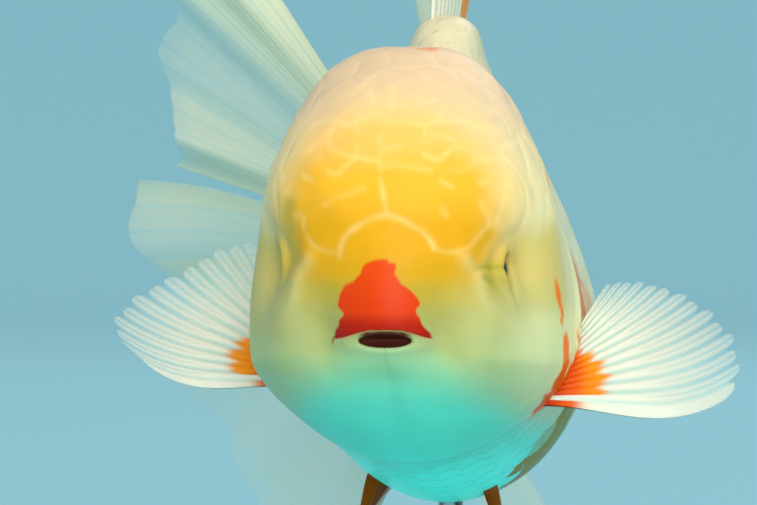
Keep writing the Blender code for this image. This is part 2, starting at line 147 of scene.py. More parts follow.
# The hood's seams between its lobes over the forehead: (side, level)
HOOD_SEAMS = (
    ((0.3, 5.9), (-2.3, 5.1), (-4.6, 3.8), (-6.1, 2.5), (-6.8, 0.9), (-7.0, -0.6)),
    ((0.3, 5.9), (2.3, 5.2), (4.5, 3.9), (6.2, 2.8), (7.1, 1.7), (7.6, 0.5)),
    ((0.3, 5.9), (0.0, 7.9), (-0.4, 9.7), (-0.7, 11.2)),
    ((7.6, 0.5), (9.4, 0.1), (11.4, 0.2), (12.9, 0.9), (14.2, 2.5), (15.5, 4.2), (15.2, 6.0),
     (14.2, 8.1)),
    ((-9.6, 7.5), (-7.2, 8.6), (-5.0, 9.4), (-3.4, 9.9)),
    ((-9.1, 12.5), (-7.5, 12.2), (-6.1, 13.6), (-4.4, 14.8), (-2.6, 14.3), (-1.3, 14.5),
     (-0.2, 13.5), (2.7, 13.5), (4.9, 13.2), (6.8, 12.7)),
    ((-1.3, 14.5), (-0.7, 12.8)),
    ((-4.4, 14.8), (-6.5, 15.2), (-9.1, 16.5), (-9.4, 18.4), (-8.9, 19.5)),
    ((-4.4, 14.8), (-4.8, 16.4)),
    ((-1.3, 14.5), (-0.3, 16.1), (-1.2, 17.5), (-0.3, 19.4), (-0.3, 20.6), (-1.9, 21.5),
     (-3.6, 21.0), (-5.4, 20.1), (-4.6, 18.9)),
    ((-5.4, 20.1), (-7.2, 20.2), (-9.6, 21.0), (-12.4, 20.2)),
    ((-0.3, 16.1), (2.0, 16.6)),
    ((-0.3, 20.6), (2.3, 20.3), (5.7, 19.8), (7.9, 20.9), (7.9, 22.0)),
    ((8.0, 20.3), (11.2, 20.7), (13.2, 19.8), (16.0, 19.6)),
    ((5.7, 19.8), (5.7, 17.7), (6.6, 17.2)),
    ((6.7, 18.4), (8.8, 17.9), (10.1, 17.3)),
    ((5.8, 15.2), (7.2, 14.4), (8.3, 14.4), (9.7, 16.0), (11.2, 16.2), (13.0, 15.3), (13.3, 14.3),
     (11.8, 12.8), (9.8, 12.6)),
    ((13.3, 14.3), (15.9, 14.6), (17.9, 14.4)),
    ((8.7, 6.7), (9.4, 5.7)),
    ((8.5, 11.0), (10.0, 10.1)),
    ((14.2, 10.7), (15.3, 11.2)),
    ((0.2, 26.1), (0.4, 22.8)),
    ((4.9, 23.3), (6.8, 24.0)),
    ((-14.8, 6.0), (-13.2, 5.8), (-13.0, 3.7), (-11.4, 1.3), (-9.2, 0.3), (-7.0, -0.1)),
    ((-11.0, 17.2), (-13.2, 16.0), (-15.0, 16.6)),
    ((-2.6, 23.6), (-3.4, 25.0), (-2.9, 27.2)),
    ((-10.6, 15.0), (-12.6, 13.8)),
    ((18.2, 10.8), (17.5, 7.6), (16.8, 5.1)),
    ((-13.4, 12.2), (-11.9, 11.4)),
    ((-16.4, 9.6), (-14.6, 9.0)),
)
SEAM_WIDTH = 0.48
SEAM_CELLS = 150  # lobes of the hood away from the forehead
GOLDEN_ANGLE = 2.39996  # radians from each lobe to the next
# Ridges of flesh under the eyes, from the hood down round the cheek, with a painted highlight along
# their crest: (side, level)
EYE_RIDGE = ((12.2, -1.2), (13.7, -3.2), (14.5, -5.4), (15.4, -7.8), (17.4, -9.4), (20.0, -9.2))
# Folds that part the muzzle from the cheeks, darkened with painted shade: (side, level)
MUZZLE_FOLDS = (
    ((8.4, -8.5), (9.5, -12.0), (10.8, -16.5)),
    ((-9.4, -7.5), (-10.2, -12.0), (-9.6, -17.5)),
)
# Creases ahead of the left eye, darkened with painted shade: an amber one under the brow, two green
# ones below: (side, level)
AMBER_CREASE = ((13.3, -3.2), (13.6, -1.4), (14.3, 0.6), (15.6, 2.8))
GREEN_CREASES = (((13.9, -2.6), (15.2, -2.2), (16.6, -2.4)), ((14.9, -3.9), (16.3, -4.7)))
# Hollows ahead of the right and the left eye, darkened with painted shade: middle, three radii,
# strength
SHADED_HOLLOWS = (
    ((-18.0, 9.5, 1.0), (4.5, 9.0, 7.0), 0.6),
    ((15.9, 7.0, -4.4), (2.2, 8.0, 3.4), 1.0),
)
# Ahead of the right eye, an amber crease and an olive hollow, both painted shade: (side, level)
RIGHT_CREASE = ((-13.2, -0.6), (-14.0, 2.6))
RIGHT_HOLLOW = ((-14.6, -1.2), (-15.6, 1.6), (-16.4, 5.0), (-16.0, 7.4))

# The red cap's edges on the fish's right and left: (level, side)
CAP_RIGHT_EDGE = ((-14.2, -8.5), (-12.6, -7.9), (-10.6, -7.0), (-9.5, -6.5), (-8.4, -7.2),
                  (-6.8, -7.3), (-5.7, -6.6), (-5.0, -5.9), (-3.9, -4.4), (-2.7, -3.5),
                  (-1.7, -2.9), (-1.1, -0.4))
CAP_LEFT_EDGE = ((-14.2, 7.6), (-12.5, 6.8), (-11.0, 5.7), (-9.4, 5.0), (-6.9, 5.1),
                 (-6.1, 4.3), (-5.3, 3.2), (-4.5, 2.2), (-3.0, 1.7), (-2.0, 1.5), (-1.1, -0.1))

# Orange marks on the fish's left side: points along each, (distance back, level), half width, strength
LEFT_MARKS = (
    (((22.4, -4.9), (22.7, -7.4), (23.8, -9.6), (23.4, -11.6)), 0.8, 1.0),
    (((49.0, -1.0), (47.5, -3.2), (45.8, -5.4)), 1.7, 0.9),
    (((28.0, 12.6), (28.6, 10.8)), 0.6, 0.9),
    (((45.6, -6.8), (44.8, -9.6), (44.4, -14.0)), 2.2, 1.0),
    (((50.5, -8.6), (50.5, -14.4)), 3.4, 0.55),
    (((25.4, -16.0), (27.0, -18.4), (29.0, -20.8)), 1.5, 1.0),
    (((28.0, -20.0), (31.0, -22.2), (34.0, -24.0)), 2.6, 1.0),
)
# Brown scales low on its left flank, their own orange-brown painted olive with a tint of the turquoise
# surroundings' light: (distance back, level), radius
BROWN_SCALES = (
    ((42.4, -27.9), 1.5), ((45.6, -32.9), 1.5), ((47.8, -36.6), 1.5), ((51.8, -39.8), 1.7),
    ((48.0, -24.0), 2.8), ((49.6, -27.4), 3.2), ((51.0, -31.0), 3.2), ((52.6, -34.6), 3.2),
    ((55.0, -37.8), 3.2), ((58.5, -40.4), 2.8), ((56.0, -29.5), 2.4), ((62.0, -33.0), 2.2),
    ((60.0, -26.0), 2.0), ((66.0, -36.5), 2.4), ((70.0, -28.0), 2.0), ((76.0, -31.0), 2.2),
    ((82.0, -22.0), 1.8), ((51.5, -12.0), 1.6), ((49.5, -15.6), 1.4),
)

SCALE_ROWS = 34
SCALES_FROM, SCALES_TO = 24.0, 109.5  # distances back
SCALE_STEP = 3.25  # from scale to scale along the flank
SCALE_LENGTH = 6.2
SCALE_SHAPE = (9, 7)  # points across and along one scale
SKIN_COLUMNS = 392  # points round each ring of the skin
HOLLOW_ROWS, LIP_ROWS, DOME_ROWS = 12, 34, 112  # rings in the mouth, on the lips and on the dome

LENS = 144.19  # millimetres, on a frame 36 wide
CAMERA_AHEAD = 0.470  # metres from the snout
CAMERA_ASIDE = 0.001  # metres to the right of the snout


# ---- shape functions, all on arrays -------------------------------------------------------------


def smooth(stations, at):
    """A smooth curve through the stations: cubic pieces whose slopes are those of the neighbours."""
    place, value = np.array(stations, float).T
    slope = np.gradient(value, place)
    i = np.clip(np.searchsorted(place, at) - 1, 0, len(place) - 2)
    gap = place[i + 1] - place[i]
    t = np.clip((at - place[i]) / gap, 0, 1)
    start = (1 + 2 * t) * (1 - t) ** 2 * value[i] + t * (1 - t) ** 2 * gap * slope[i]
    end = t * t * (3 - 2 * t) * value[i + 1] + t * t * (t - 1) * gap * slope[i + 1]
    return start + end


def straight(stations, at):
    """Straight lines through the stations."""
    place, value = np.array(stations, float).T
    return np.interp(at, place, value)


def ease(value, low, high):
    """0 below low, 1 above high, and 3t^2 - 2t^3 between."""
    t = np.clip((value - low) / (high - low), 0, 1)
    return t * t * (3 - 2 * t)


def bell(distance, radius):
    """A rounded hill: e to the minus square of distance over radius."""
    return np.exp(-((distance / radius) ** 2))


def power(value, exponent):
    """The value to a power, with its sign kept."""
    return np.sign(value) * np.abs(value) ** exponent


def ring(back, turn):
    """(x, z) of the body's cross-section at a distance back; turn is 0 on the back, pi on the belly.

    Each half of the ring is a superellipse. The keel under the dorsal fin widens its top.
    """
    up = np.cos(turn) > 0
    wide = smooth(WIDEST_LEVEL, back)
    reach = np.where(up, smooth(BACK, back) - wide, wide - smooth(BELLY, back))
    low = smooth(LOWER_POWER, back)
    rise = np.where(up, smooth(UPPER_RISE, back), low)
    spread = np.where(up, smooth(UPPER_SPREAD, back), low)
    side = smooth(HALF_WIDTH, back) * np.abs(np.sin(turn)) ** (2 / spread)
    height = power(np.cos(turn), 2 / rise)
    keel = smooth(KEEL, back) * np.sqrt(1 - np.clip(height, 0, 1) ** 24) * np.where(up, 1, 0)
    side = (side**4 + keel**4) ** 0.25
    return np.sign(np.sin(turn)) * side, wide + reach * height


def body_surface(run, turn):
    """Points of the bare body. run goes from 0 at the mouth to 1 at the end of the tail stalk.

    The head is a superellipse dome over the ring at DOME_LENGTH, spread out from the mouth. Behind
    it the rings follow each other to the tail stalk, whose end is rounded.
    """
    spread = np.sin(np.clip(run / DOME_SHARE, 0, 1) * math.pi / 2)
    off_top = np.degrees(np.abs(turn))
    flat, bend = smooth(DOME_FLAT, off_top), smooth(DOME_TURN, off_top)
    dome_back = DOME_LENGTH * (1 - (1 - spread**flat) ** (1 / bend))
    rear = np.clip((run - DOME_SHARE) / (1 - DOME_SHARE), 0, 1)
    rounding = np.clip((rear - STALK_ROUNDING) / 0.06, 0, 1)
    along = np.minimum(rear / STALK_ROUNDING, 1) ** 0.94
    trunk_back = DOME_LENGTH + (BODY_LENGTH - DOME_LENGTH) * along
    back = np.where(run < DOME_SHARE, dome_back, trunk_back + 2.0 * np.sin(rounding * math.pi / 2))
    x, z = ring(np.where(run < DOME_SHARE, DOME_LENGTH, trunk_back), turn)
    shrink = np.where(run < DOME_SHARE, spread, np.cos(rounding * math.pi / 2))
    level = np.where(run < DOME_SHARE, MOUTH_LEVEL, 0.0)
    return np.stack([x * shrink, back, level + (z - level) * shrink], -1)


def run_at(back, turn):
    """The run at which body_surface() has come a distance back: its two formulas turned round."""
    off_top = np.degrees(np.abs(turn))
    flat, bend = smooth(DOME_FLAT, off_top), smooth(DOME_TURN, off_top)
    ahead = np.clip(back / DOME_LENGTH, 0, 1)
    spread = (1 - (1 - ahead) ** bend) ** (1 / flat)
    behind = np.clip((back - DOME_LENGTH) / (BODY_LENGTH - DOME_LENGTH), 0, 1)
    rear = STALK_ROUNDING * behind ** (1 / 0.94)
    in_dome = DOME_SHARE * 2 / math.pi * np.arcsin(np.clip(spread, 0, 1))
    return np.where(back < DOME_LENGTH, in_dome, DOME_SHARE + (1 - DOME_SHARE) * rear)


def swollen(points):
    """The points moved outwards from the middle of the head by its swellings and hollows."""
    out = points - np.array(HEAD_CENTRE)
    out /= np.linalg.norm(out, axis=-1, keepdims=True)
    lift = np.zeros(points.shape[:-1])
    for (side, back, level), radius, height in SWELLINGS:
        for x in {side, -side}:
            away = np.linalg.norm(points - np.array((x, back, level)), axis=-1)
            lift += height * bell(away, radius)
    return points + out * lift[..., None]


def flesh(run, turn):
    """The body with its swellings."""
    return swollen(body_surface(run, turn))


def flesh_normal(run, turn):
    """Unit normals of the body, taken just inside its two ends."""
    return outward(flesh, np.clip(run, 0.004, 0.996), turn)


def spine(back):
    """(sideways place, turn in radians) of the spine at a distance back from the snout."""
    steps = np.linspace(0, 240, 481)
    turns = np.radians(smooth(SPINE_TURN, steps))
    places = np.concatenate([[0], np.cumsum(np.tan(turns[:-1]) * np.diff(steps))])
    at = np.clip(back, 0, None)
    return np.interp(at, steps, places), np.interp(at, steps, turns)


def posed(points):
    """Bends points of the straight fish along its spine and sets them over the stand, in metres."""
    x, back, level = np.moveaxis(np.asarray(points, float), -1, 0)
    place, turn = spine(back)
    return MM * np.stack([
        place + x * np.cos(turn) - spine(STAND_SHIFT)[0],
        back - x * np.sin(turn) - STAND_SHIFT,
        level + AXIS_HEIGHT,
    ], -1)


def heading(sideways, rise):
    """A unit direction: straight back, turned sideways and raised by the two angles in degrees."""
    sideways, rise = np.radians(sideways), np.radians(rise)
    return np.stack([
        np.cos(rise) * np.sin(sideways),
        np.cos(rise) * np.cos(sideways),
        np.sin(rise),
    ], -1)


def along_rays(root, sideways, rise, reach):
    """Points at a reach from the root, each in its own direction."""
    return root + heading(sideways, rise) * reach[..., None]


def mixed(first, last, share):
    """The point a share of the way from one point to another."""
    return np.array(first, float) + share[..., None] * (np.array(last, float) - np.array(first))


def mirrored(point, side):
    """A point of the left side, or the same point on the right where side is -1."""
    return point[0] * side, point[1], point[2]


def outward(surface, a, b, step=0.0015):
    """Unit normals of a surface: the cross product of its two slopes, each from a small step."""
    first = surface(a + step, b) - surface(a - step, b)
    second = surface(a, b + step) - surface(a, b - step)
    across = np.cross(second, first)
    return across / np.maximum(np.linalg.norm(across, axis=-1, keepdims=True), 1e-9)


def off_line(points, line):
    """The distance of points from a line of straight pieces, in as many numbers as the line has."""
    best = np.full(points.shape[:-1], 1e9)
    for start, end in zip(np.array(line[:-1], float), np.array(line[1:], float)):
        along = end - start
        share = np.clip(((points - start) @ along) / (along @ along), 0, 1)
        best = np.minimum(best, np.linalg.norm(points - start - share[..., None] * along, axis=-1))
    return best


def rounded_line(line, pieces=5):
    """The line's corners rounded off: a smooth curve through its points by their own spacing."""
    line = np.array(line, float)
    if len(line) < 3:
        return line
    at = np.arange(len(line))
    fine = np.linspace(0, len(line) - 1, (len(line) - 1) * pieces + 1)
    parts = [smooth(np.stack([at, values], -1), fine) for values in line.T]
    return np.stack(parts, -1)


def wobble(points, size, seed):
    """A soft rise and fall between -1 and 1: five sine waves in set directions, size apart."""
    rng = np.random.default_rng(seed)
    total = np.zeros(points.shape[:-1])
    for _ in range(5):
        direction = rng.normal(size=3)
        direction *= rng.uniform(0.7, 1.5) / np.linalg.norm(direction)
        total += np.sin(points @ direction * TURN / size + rng.uniform(0, TURN))
    return total / 2.6


def tail_lobe(across, along, side, lobe):
    """A quarter of the tail, with broad folds and ripples that grow towards its margin."""
    rise = smooth(lobe["rise"], across)
    folds = TAIL_WAVE * np.sin(TURN * (1.6 * across + 0.1 * side)) * along**1.5
    folds += TAIL_RIPPLE * np.sin(TURN * (4.2 * across + 0.3 * side)) * along**2
    sideways = side * (smooth(lobe["flare"], across) * (0.9 + 0.15 * along) + folds)
    sideways -= smooth(TAIL_SWING, rise)
    sign = lobe["sign"]
    rise += lobe["arch"] * across**4 * np.sin(math.pi * along)
    root = mixed((side * 1.5, 111, sign * 7.5), (side * 1.5, 112, sign * 0.6), across)
    return along_rays(root, sideways, rise, smooth(lobe["length"], across) * along)


def pectoral(across, along, side):
    """Rays spread from a slanting root; the leading one sags and curls up at its tip."""
    fin = PECTORALS[side]
    sag = (1 - across) ** 2 * (4 * along**4 - 7 * np.sin(math.pi * along))
    rise = smooth(fin["rise"], across) + sag
    sideways = fin["forward"] - 18 * across + 5 * np.sin(7 * across) * along
    root = mixed(mirrored(fin["low"], side), mirrored(fin["high"], side), across)
    return along_rays(root, side * sideways, rise, smooth(fin["length"], across) * along)


def pelvic(across, along, side):
    """The left one hangs nearly straight down and the right one is held out."""
    fin = PELVICS[side]
    rise = smooth(((0, -62), (1, -28)), across)
    sideways = smooth(fin["sideways"], across) + 6 * np.sin(6 * across) * along
    length = smooth(((0, 29), (0.25, 32), (1, 17)), across)
    root = mixed(mirrored(fin["front"], side), mirrored(fin["rear"], side), across)
    return along_rays(root, side * sideways, rise, length * along)


def anal(across, along, side):
    """One of the pair under the tail stalk."""
    rise = smooth(((0, -58), (1, -26)), across)
    sideways = smooth(((0, 26), (1, 12)), across) + 5 * np.sin(6 * across) * along
    length = smooth(((0, 24), (0.3, 26), (1, 15)), across)
    root = mixed((side * 3, 88, -21), (side * 3, 97, -15), across)
    return along_rays(root, side * sideways, rise, length * along)


def dorsal(across, along):
    """Rays leaning back from the keel, the middle ones bent over to the left."""
    rise = smooth(((0, 78), (0.5, 60), (1, 40)), across) - 10 * along
    sideways = smooth(((0, 0), (0.4, 16), (1, 4)), across) * (0.4 + 0.6 * along)
    length = smooth(((0, 30), (0.12, 35), (0.6, 29), (1, 19)), across)
    root = mixed((-2, 51, 36), (2, 87, 22), across)
    root[..., 2] += 6 * np.sin(math.pi * across)
    return along_rays(root, sideways, rise, length * along)


# ---- markings and relief, the same for skin and scales ------------------------------------------


def hood_edge(side):
    """The level of the hood's lower edge, which rises from the nose to the sides."""
    return -2.6 + 9.0 * (side / 26) ** 2


def behind_gill(points):
    """How far back of its gill cover's edge a point lies."""
    return points[..., 1] - smooth(GILL_LINE, points[..., 2])


def on_face(points):
    """1 on the front of the face, fading out to 0 at the eyes."""
    return ease(-points[..., 1], -13, -10)


def on_ridge(points, width):
    """1 along the ridge of flesh under each eye, fading over a width and outwards."""
    off, level = np.abs(points[..., 0]), points[..., 2]
    away = off_line(np.stack([off, level], -1), rounded_line(EYE_RIDGE))
    return bell(away, width) * on_face(points) * ease(-off, -19, -14)


def seams(points):
    """How deep in a seam of the hood a point lies, 0 to 1.

    Over the forehead it is near a line of HOOD_SEAMS. Elsewhere the hood is parted into cells
    round scattered middles, and the seam is where the two nearest middles are equally far.
    """
    side, back, level = np.moveaxis(points, -1, 0)
    plane = points[..., [0, 2]]
    drawn = np.zeros(side.shape)
    near = (back < 22) & (level > -5)
    patchy = 0.70 + 0.30 * wobble(points[near], 4.0, 6)
    for number, line in enumerate(HOOD_SEAMS):
        strength = 1.0 if number < 3 else 0.66
        away = off_line(plane[near], rounded_line(line))
        drawn[near] = np.maximum(drawn[near], strength * patchy * bell(away, SEAM_WIDTH))
    drawn *= ease(-back, -20, -13)
    rng = np.random.default_rng(11)
    number = np.arange(SEAM_CELLS)
    runs = DOME_SHARE * (0.32 + 0.95 * np.sqrt((number + 0.5) / SEAM_CELLS))
    turns = (number * GOLDEN_ANGLE) % TURN - math.pi
    middles = flesh(runs, 0.72 * turns) + rng.normal(0, 1.0, (SEAM_CELLS, 3))
    warped = points + 0.9 * np.stack([wobble(points, 9.0, k) for k in (1, 2, 3)], -1)
    flat = warped.reshape(-1, 3).astype(np.float32)
    away = np.linalg.norm(flat[:, None, :] - middles.astype(np.float32)[None], axis=-1)
    away.partition(1, axis=1)
    cells = bell((away[:, 1] - away[:, 0]).reshape(side.shape), 1.1)
    front = ease(np.abs(side), 13, 19) + ease(back, 11, 19) + ease(level, 22, 27)
    return drawn, cells * np.clip(front, 0, 1)


def in_hood(points):
    """1 on the hood and 0 off it, with a soft edge."""
    ahead = ease(-3.0 - behind_gill(points), -1.5, 2.5)
    return ease(points[..., 2] - hood_edge(points[..., 0]), -3.4, 2.6) * ahead


def head_relief(points):
    """Outward lift of the skin, in millimetres, for the head's folds and lobes.

    Seams sink and the lobes between them stand up; a ridge runs under each eye; the lids stand up
    in a ring round each eye; each gill cover ends in a raised rim over a groove.
    """
    side, back, level = np.moveaxis(points, -1, 0)
    off = np.abs(side)
    hood = in_hood(points)
    drawn, cells = seams(points)
    lift = -0.09 * drawn * hood - 0.14 * cells * hood + 0.20 * hood
    lift += 0.16 * hood * wobble(points, 11.0, 5)
    lift += 0.6 * on_ridge(points, 1.5)
    for eye_side in (-1, 1):
        here = np.sign(side) == eye_side
        away = np.hypot(back - EYE_SEAT[1], level - EYE_PLACE[2] + eye_side * EYE_TILT)
        ahead = np.clip((EYE_SEAT[1] - back) / np.maximum(away, 0.5), 0, 1)
        fore = 0.75 if eye_side > 0 else 0.4
        lid = (0.55 + fore * ahead) * bell(away - 3.5, 0.8) - 0.2 * bell(away - 5.4, 1.1)
        lid -= 2.8 * (1 - ease(away, 2.0, 3.0))
        lift += np.where(here & (off > 8), lid, 0)
    ahead = points[..., [0, 2]]
    creases = sum(bell(off_line(ahead, line), 0.5) for line in GREEN_CREASES)
    creases += 0.8 * bell(off_line(ahead, rounded_line(AMBER_CREASE)), 0.9)
    creases += 1.2 * bell(off_line(ahead, RIGHT_HOLLOW), 1.6)
    creases += 0.8 * sum(bell(off_line(ahead, rounded_line(line)), 1.8) for line in MUZZLE_FOLDS)
    lift -= 0.25 * creases * on_face(points)
    lift += 0.05 * hood * wobble(points, 4.2, 7)
    reach = bell(level - GILL_MIDDLE, GILL_REACH) ** 0.7
    behind = behind_gill(points)
    rim = 0.42 * bell(np.minimum(behind + 0.2, 0), 3.2) * (1 - ease(behind, -0.1, 0.55))
    lift += reach * (rim - 0.4 * bell(behind - 1.3, 1.0))
    fold = behind + 14.5 - 3.0 * ((level - GILL_MIDDLE) / GILL_REACH) ** 2
    lift -= 0.18 * reach * bell(fold, 2.4) * ease(off, 15, 21)
    return lift


def lip_relief(points):
    """Outward lift round the mouth: the upper lip overhangs, the lower one is a soft roll."""
    side, back, level = np.moveaxis(points, -1, 0)
    near = ease(-back, -9, -5)
    over = level - lip_arch(side)
    upper = 0.5 * ease(over, -0.1, 0.3) * np.exp(-np.clip(over, 0, 9) / 3.0)
    upper *= ease(-np.abs(side), -8.4, -6.4)
    around = np.hypot(side / MOUTH_HALF_WIDTH, (level - MOUTH_CORNER_LEVEL) / 1.1)
    lower = ease(MOUTH_CORNER_LEVEL - level, 0, 0.6) * 0.16 * bell(around - 1.7, 0.7)
    chin = -0.22 * bell(np.hypot(side / 7.0, (level + 20.2) / 1.8), 1)
    return near * (upper + lower + chin)


def lip_arch(side):
    """The level of the upper lip's edge, a low arch that droops at the corners."""
    return -12.05 - 2.2 * np.abs(side / 7.9) ** 2.3


def blot(points, centre, radii, rough=0.25, seed=3):
    """1 inside a ball drawn out to three radii and 0 outside, with a wandering edge."""
    away = np.linalg.norm((points - np.array(centre)) / np.array(radii), axis=-1)
    return 1 - ease(away + rough * wobble(points, 3.2, seed), 0.85, 1.1)


def red_cap(points):
    """(cap, rim): the red patch over nose and lip, and the pale line along the upper lip's edge."""
    side, back, level = np.moveaxis(points, -1, 0)
    over = level - lip_arch(side)
    jitter = 0.22 * wobble(points, 2.1, 8)
    wide = ease(side - straight(CAP_RIGHT_EDGE, level), -0.16 + jitter, 0.16 + jitter)
    wide = wide * ease(straight(CAP_LEFT_EDGE, level) - side, -0.16 + jitter, 0.16 + jitter)
    cap = wide * ease(over, 0.04, 0.2) * ease(-level, 1.0, 1.3) * ease(-back, -9, -7)
    rim = bell(over + 0.02, 0.12) * ease(-np.abs(side), -8.2, -7.4) * ease(-back, -9, -6)
    return cap, rim


def orange_marks(points):
    """Marks down the left side, patches round the pectoral fins' roots and a spot behind the hood."""
    side, back, level = np.moveaxis(points, -1, 0)
    flame = np.zeros(side.shape)
    sideways = np.stack([back, level], -1)
    for number, (line, width, strength) in enumerate(LEFT_MARKS):
        away = off_line(sideways, rounded_line(line))
        away = away + 0.3 * width * wobble(points, 2.4, number + 20)
        mark = strength * (1 - ease(away, 0.7 * width, 1.25 * width))
        flame = np.maximum(flame, np.where(side > 9, mark, 0))
    for number, fin_side in enumerate((1, -1)):
        fin = PECTORALS[fin_side]
        ends = np.array([mirrored(fin["low"], fin_side), mirrored(fin["high"], fin_side)])
        away = off_line(points, ends + np.array((fin_side * 2.0, -1.0, 0.5)))
        patch = 1 - ease(away + 0.9 * wobble(points, 3.0, 30 + number), 2.6, 4.2)
        flame = np.maximum(flame, patch)
    return np.maximum(flame, 0.55 * blot(points, (4.0, 23.0, 33.5), (2.6, 2.0, 1.6), seed=41))


def brown_marks(points):
    """The brown scales low on the left side."""
    side, back, level = np.moveaxis(points, -1, 0)
    brown = np.zeros(side.shape)
    for number, (centre, radius) in enumerate(BROWN_SCALES):
        away = np.hypot((back - centre[0]) / 1.1, level - centre[1])
        away = away + 0.25 * wobble(points, 3.4, 50 + number)
        spot = 1 - ease(away, 0.75 * radius, 1.05 * radius)
        brown = np.maximum(brown, np.where(side > 2, spot, 0))
    return brown


def painted_face_shading(points):
    """The shares of the painted shade in the hollows, creases and folds on the front of the face, and
    of the painted highlight along the ridges under the eyes, by name.
    """
    ahead, face = points[..., [0, 2]], on_face(points)
    hollow = 0
    for centre, radii, strength in SHADED_HOLLOWS:
        away = np.linalg.norm((points - np.array(centre)) / np.array(radii), axis=-1)
        hollow = hollow + strength * bell(away, 1)
    hollow = np.clip(hollow, 0, 1)
    painted_crease_shade = face * bell(off_line(ahead, rounded_line(AMBER_CREASE)), 0.95)
    painted_crease_shade = np.maximum(painted_crease_shade, 0.7 * face * bell(off_line(ahead, RIGHT_CREASE), 1.1))
    painted_olive_crease_shade = face * sum(bell(off_line(ahead, line), 0.38) for line in GREEN_CREASES)
    folds = sum(bell(off_line(ahead, rounded_line(line)), 2.2) for line in MUZZLE_FOLDS)
    return {
        "hollow": np.maximum(hollow, face * bell(off_line(ahead, RIGHT_HOLLOW), 1.5)),
        "painted_crease_shade": painted_crease_shade,
        "painted_olive_crease_shade": np.clip(painted_olive_crease_shade, 0, 1),
        "fold": face * np.clip(folds, 0, 1),
        "painted_ridge_highlight": on_ridge(points, 1.1),
    }


def markings(points):
    """Shares, 0 to 1, of each colour at points of the straight fish, by name."""
    side, back, level = np.moveaxis(points, -1, 0)
    hood = in_hood(points)
    drawn, cells = seams(points)
    behind = behind_gill(points)
    cap, rim = red_cap(points)
    sag = 8.5 * np.clip(np.abs(side) / 19, 0, 1.3) ** 2
    aside = ease(np.hypot(side / 21, (level - 6) / 21), 0.62, 1.12) + ease(back, 16, 27)
    return {
        "hood": hood,
        "seam": np.clip(drawn + 0.3 * cells, 0, 1) * hood,
        "aside": np.clip(aside, 0, 1),
        "cap": cap,
        "rim": rim,
        "orange": orange_marks(points),
        "brown": brown_marks(points),
        **painted_face_shading(points),
        # belly: where the painted turquoise reflection and glow of the belly go.
        "belly": ease(-level - 15.5 - sag - 0.05 * behind, -2.5, 9.0),
        "trunk": ease(behind, -7.0, 0.4),
    }


# ---- meshes -------------------------------------------------------------------------------------


def grid_corners(rows, columns, closed_round):
    """(row, column) of each face's four corners; past the last column comes the first again."""
    steps = columns if closed_round else columns - 1
    i, j = np.meshgrid(np.arange(rows - 1), np.arange(steps), indexing="ij")
    i, j = i.ravel(), j.ravel()
    return np.stack([i, i, i + 1, i + 1], -1), np.stack([j, j + 1, j + 1, j], -1)


def grid_faces(rows, columns, closed_round):
    """Faces of a grid of points, row by row; the last column may join the first."""
    row, column = grid_corners(rows, columns, closed_round)
    return row * columns + column % columns


def closed_rings(points):
    """(points, triangles) of rings of points, row by row, each end closed with a fan to its middle."""
    rows, columns = points.shape[:2]
    faces = grid_faces(rows, columns, True)
    around = np.arange(columns)
    after = (around + 1) % columns
    count, tail = rows * columns, (rows - 1) * columns
    fans = np.concatenate([
        np.stack([np.full(columns, count), after, around], -1),
        np.stack([np.full(columns, count + 1), tail + around, tail + after], -1),
    ])
    ends = np.stack([points[0].mean(axis=0), points[-1].mean(axis=0)])
    triangles = np.concatenate([faces[:, [0, 1, 2]], faces[:, [0, 2, 3]], fans])
    return np.concatenate([points.reshape(-1, 3), ends]), triangles


def make_piece(name, points, faces, places=None, shares=None, lie=None):
    """A mesh object from arrays.

    places are the corners' places on the map; shares and lie are carried by the points.
    """
    mesh = bpy.data.meshes.new(name)
    mesh.vertices.add(len(points))
    mesh.vertices.foreach_set("co", np.ascontiguousarray(points, np.float32).ravel())
    mesh.loops.add(faces.size)
    mesh.loops.foreach_set("vertex_index", np.ascontiguousarray(faces, np.int32).ravel())
    mesh.polygons.add(len(faces))
    mesh.polygons.foreach_set("loop_start", np.arange(0, faces.size, faces.shape[1], dtype=np.int32))
    mesh.update(calc_edges=True)
    if places is not None:
        layer = mesh.uv_layers.new(name="OFBake")
        layer.data.foreach_set("uv", np.ascontiguousarray(places, np.float32).ravel())
    for word, values in (shares or {}).items():
        attribute = mesh.attributes.new(word, "FLOAT", "POINT")
        attribute.data.foreach_set("value", np.ascontiguousarray(values, np.float32).ravel())
    if lie is not None:
        attribute = mesh.attributes.new("lie", "FLOAT_VECTOR", "POINT")
        attribute.data.foreach_set("vector", np.ascontiguousarray(lie, np.float32).ravel())
    mesh.validate()
    mesh.shade_smooth()
    piece = bpy.data.objects.new(name, mesh)
    bpy.context.scene.collection.objects.link(piece)
    return piece


def finish_piece(piece, material, slot, *nodes):
    """Gives a piece its material, hangs it on the root body and hides the CAD nodes that it stands for.
    """
    piece.data.materials.append(material)
    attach(piece, "root")
    if nodes:
        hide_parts(*nodes)


# ---- shader words -------------------------------------------------------------------------------


def tint(red, painted_olive_crease_shade, blue):
    """A linear colour from its three shares of 255 as a screen shows them."""
    shown = np.array((red, painted_olive_crease_shade, blue)) / 255
    linear = np.where(shown <= 0.04045, shown / 12.92, ((shown + 0.055) / 1.055) ** 2.4)
    return (*linear.tolist(), 1.0)


